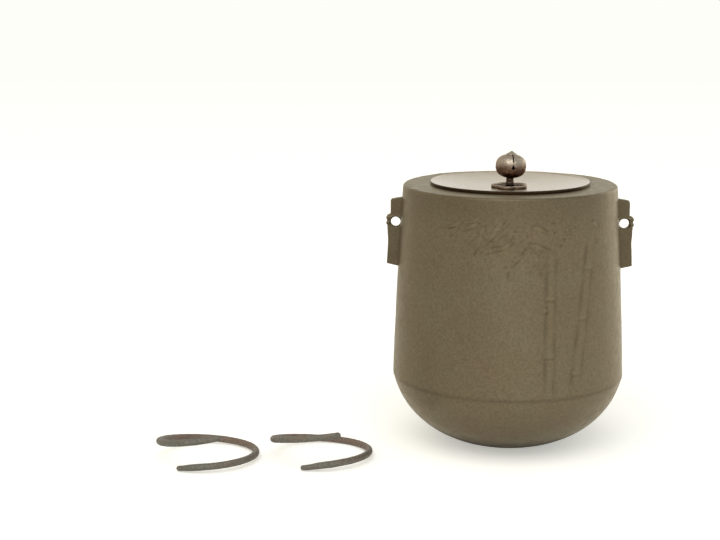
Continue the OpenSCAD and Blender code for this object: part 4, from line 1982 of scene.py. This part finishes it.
@dataclass
class Studio:
    """The pale floor, the soft lights and the camera."""

    eye: Vector = field(default_factory=lambda: Vector((-21.8, -1144.4, 352.8)) * MM)
    aim: Vector = field(default_factory=lambda: Vector((-113.6, 0, 131.3)) * MM)
    roll: float = math.radians(-0.159)
    lens: float = 76.04
    sensor: float = 36
    floor_size: float = 8.0
    floor_z: float = -0.1 * MM
    floor_tone: Colour = (0.8, 0.8, 0.8, 1.0)
    floor_white: Colour = (0.95, 0.95, 0.93, 1.0)
    floor_glow: Colour = (1, 1, 0.94, 1)
    near_glow: float = 0.4
    far_glow: float = 0.48
    glow_reach: Span = (0.25, 1.2)
    gloss_x: Span = (-0.35, 0.05)
    left_gloss: float = 0.35
    level: Colour = (0.99, 0.99, 0.94, 1.0)
    bands: tuple[Band, ...] = (
        Band("Z", start=0.1, end=0.8, colour=(0.7, 0.7, 0.68, 1.0)),
        Band("Y", start=-0.7, end=0.1, colour=(0.38, 0.38, 0.37, 1.0), gloss=1.0),
        Band("X", start=-0.1, end=-0.8, colour=(0.86, 0.78, 0.63, 1.0), gloss=0.2),
    )
    lamps: tuple[Lamp, ...] = (
        Lamp("key", place=(-0.3, -1.7, 0.9), size=1.2, power=1.4, colour=(1.0, 0.985, 0.95)),
        Lamp("top", place=(-0.1, -1.2, 1.7), size=1.8, power=15.5, colour=(1.0, 0.99, 0.97)),
        Lamp("side", place=(1.0, 0.95, 0.5), size=0.9, power=2.8, colour=(1.0, 1.0, 0.94)),
    )

    def camera(self) -> None:
        """Sets the camera at its place."""
        data = bpy.data.cameras.new("view")
        data.lens = self.lens
        data.sensor_width = self.sensor
        camera = bpy.data.objects.new("view", data)
        bpy.context.scene.collection.objects.link(camera)
        camera.location = self.eye
        camera.rotation_mode = "QUATERNION"
        turn = (self.aim - self.eye).to_track_quat("-Z", "Y")
        camera.rotation_quaternion = turn @ Quaternion((0, 0, 1), self.roll)
        bpy.context.scene.camera = camera

    def floor(self) -> None:
        """Lays the floor, which reads white and keeps the shadow."""
        Bench.clear()
        bpy.ops.mesh.primitive_plane_add(size=self.floor_size, location=(0, 0, self.floor_z))
        floor = bpy.context.object
        floor.name = "floor"
        graph = Graph("floor_paper")
        shown = graph.seen(graph.span(graph.axis("X", *self.gloss_x), 0, 1, self.left_gloss, 1.0))
        graph.feed("Base Color", graph.ramp(shown, (0, self.floor_tone), (1, self.floor_white)))
        graph.set(Roughness=0.9, Specular_IOR_Level=0.0, Emission_Color=self.floor_glow)
        away = graph.span(graph.reach(), *self.glow_reach, self.near_glow, self.far_glow)
        graph.feed("Emission Strength", graph.times(away, shown))
        floor.data.materials.append(graph.material)

    def sky(self) -> None:
        """Lights the scene from the front and above, warmer on the left, with white all round behind it."""
        world = bpy.data.worlds.new("studio")
        world.use_nodes = True
        tree = Tree(world.node_tree)
        way = tree.nodes.new("ShaderNodeTexCoord").outputs["Generated"]
        shade: Socket | Colour = self.level
        for band in self.bands:
            share = tree.span(tree.split(way, band.axis), band.start, band.end)
            if band.gloss is not None:
                share = tree.times(share, tree.combine("SUBTRACT", 1.0, tree.seen(band.gloss)))
            shade = tree.blend(share, shade, band.colour)
        tree.put(tree.nodes["Background"].inputs["Color"], shade)
        bpy.context.scene.world = world

    def build(self) -> None:
        """Sets the stage."""
        bpy.context.scene.view_settings.view_transform = "Standard"
        self.camera()
        self.floor()
        self.sky()
        for lamp in self.lamps:
            lamp.hang()


def main() -> None:
    """Builds the kettle piece by piece and sets it on its stage."""
    logging.basicConfig(level=logging.INFO, format="%(message)s")
    iron = CastIronFinish().build()
    lid_bronze = LidBronzeFinish().build()
    knob_bronze = KnobBronzeFinish().build()
    # The seat takes the same painted reflection over its own low height.
    seat_bronze = KnobBronzeFinish(
        "seat_bronze_skin",
        low_z=196.4 * MM,
        high_z=198.4 * MM,
        red=tone(98, 90, 77),
        grey=tone(164, 154, 138),
    ).build()
    ring_iron = ForgedIronFinish().build()
    chip_iron = ForgedIronFinish(
        "chip_iron_skin",
        dark=tone(52, 42, 35),
        grey=tone(70, 60, 53),
        plain=tone(72, 60, 52),
        red=tone(98, 66, 44),
    ).build()
    lacquer = LacquerFinish().build()
    body = KettleBody(iron)
    body.build()
    for side in Side:
        Lug(side, iron, body).build()
    SingingPlates(chip_iron, lacquer).build()
    LidPlate(lid_bronze).build()
    KnobSeat(seat_bronze).build()
    Knob(knob_bronze).build()
    KnobWasher(lid_bronze).build()
    LiftingRing(
        Side.LEFT,
        ring_iron,
        middle=(-222.25 * MM, -68 * MM),
        bearing=-119,
        sweep=413,
        pitch=17.7 * MM,
        lean=4.6 * MM,
        bend=3.3 * MM,
    ).build()
    LiftingRing(
        Side.RIGHT,
        ring_iron,
        middle=(-138.15 * MM, -58.5 * MM),
        bearing=-109,
        sweep=408,
        pitch=21.2 * MM,
        lean=6 * MM,
        bend=0.0,
    ).build()
    Studio().build()


if __name__ == "__main__":
    main()
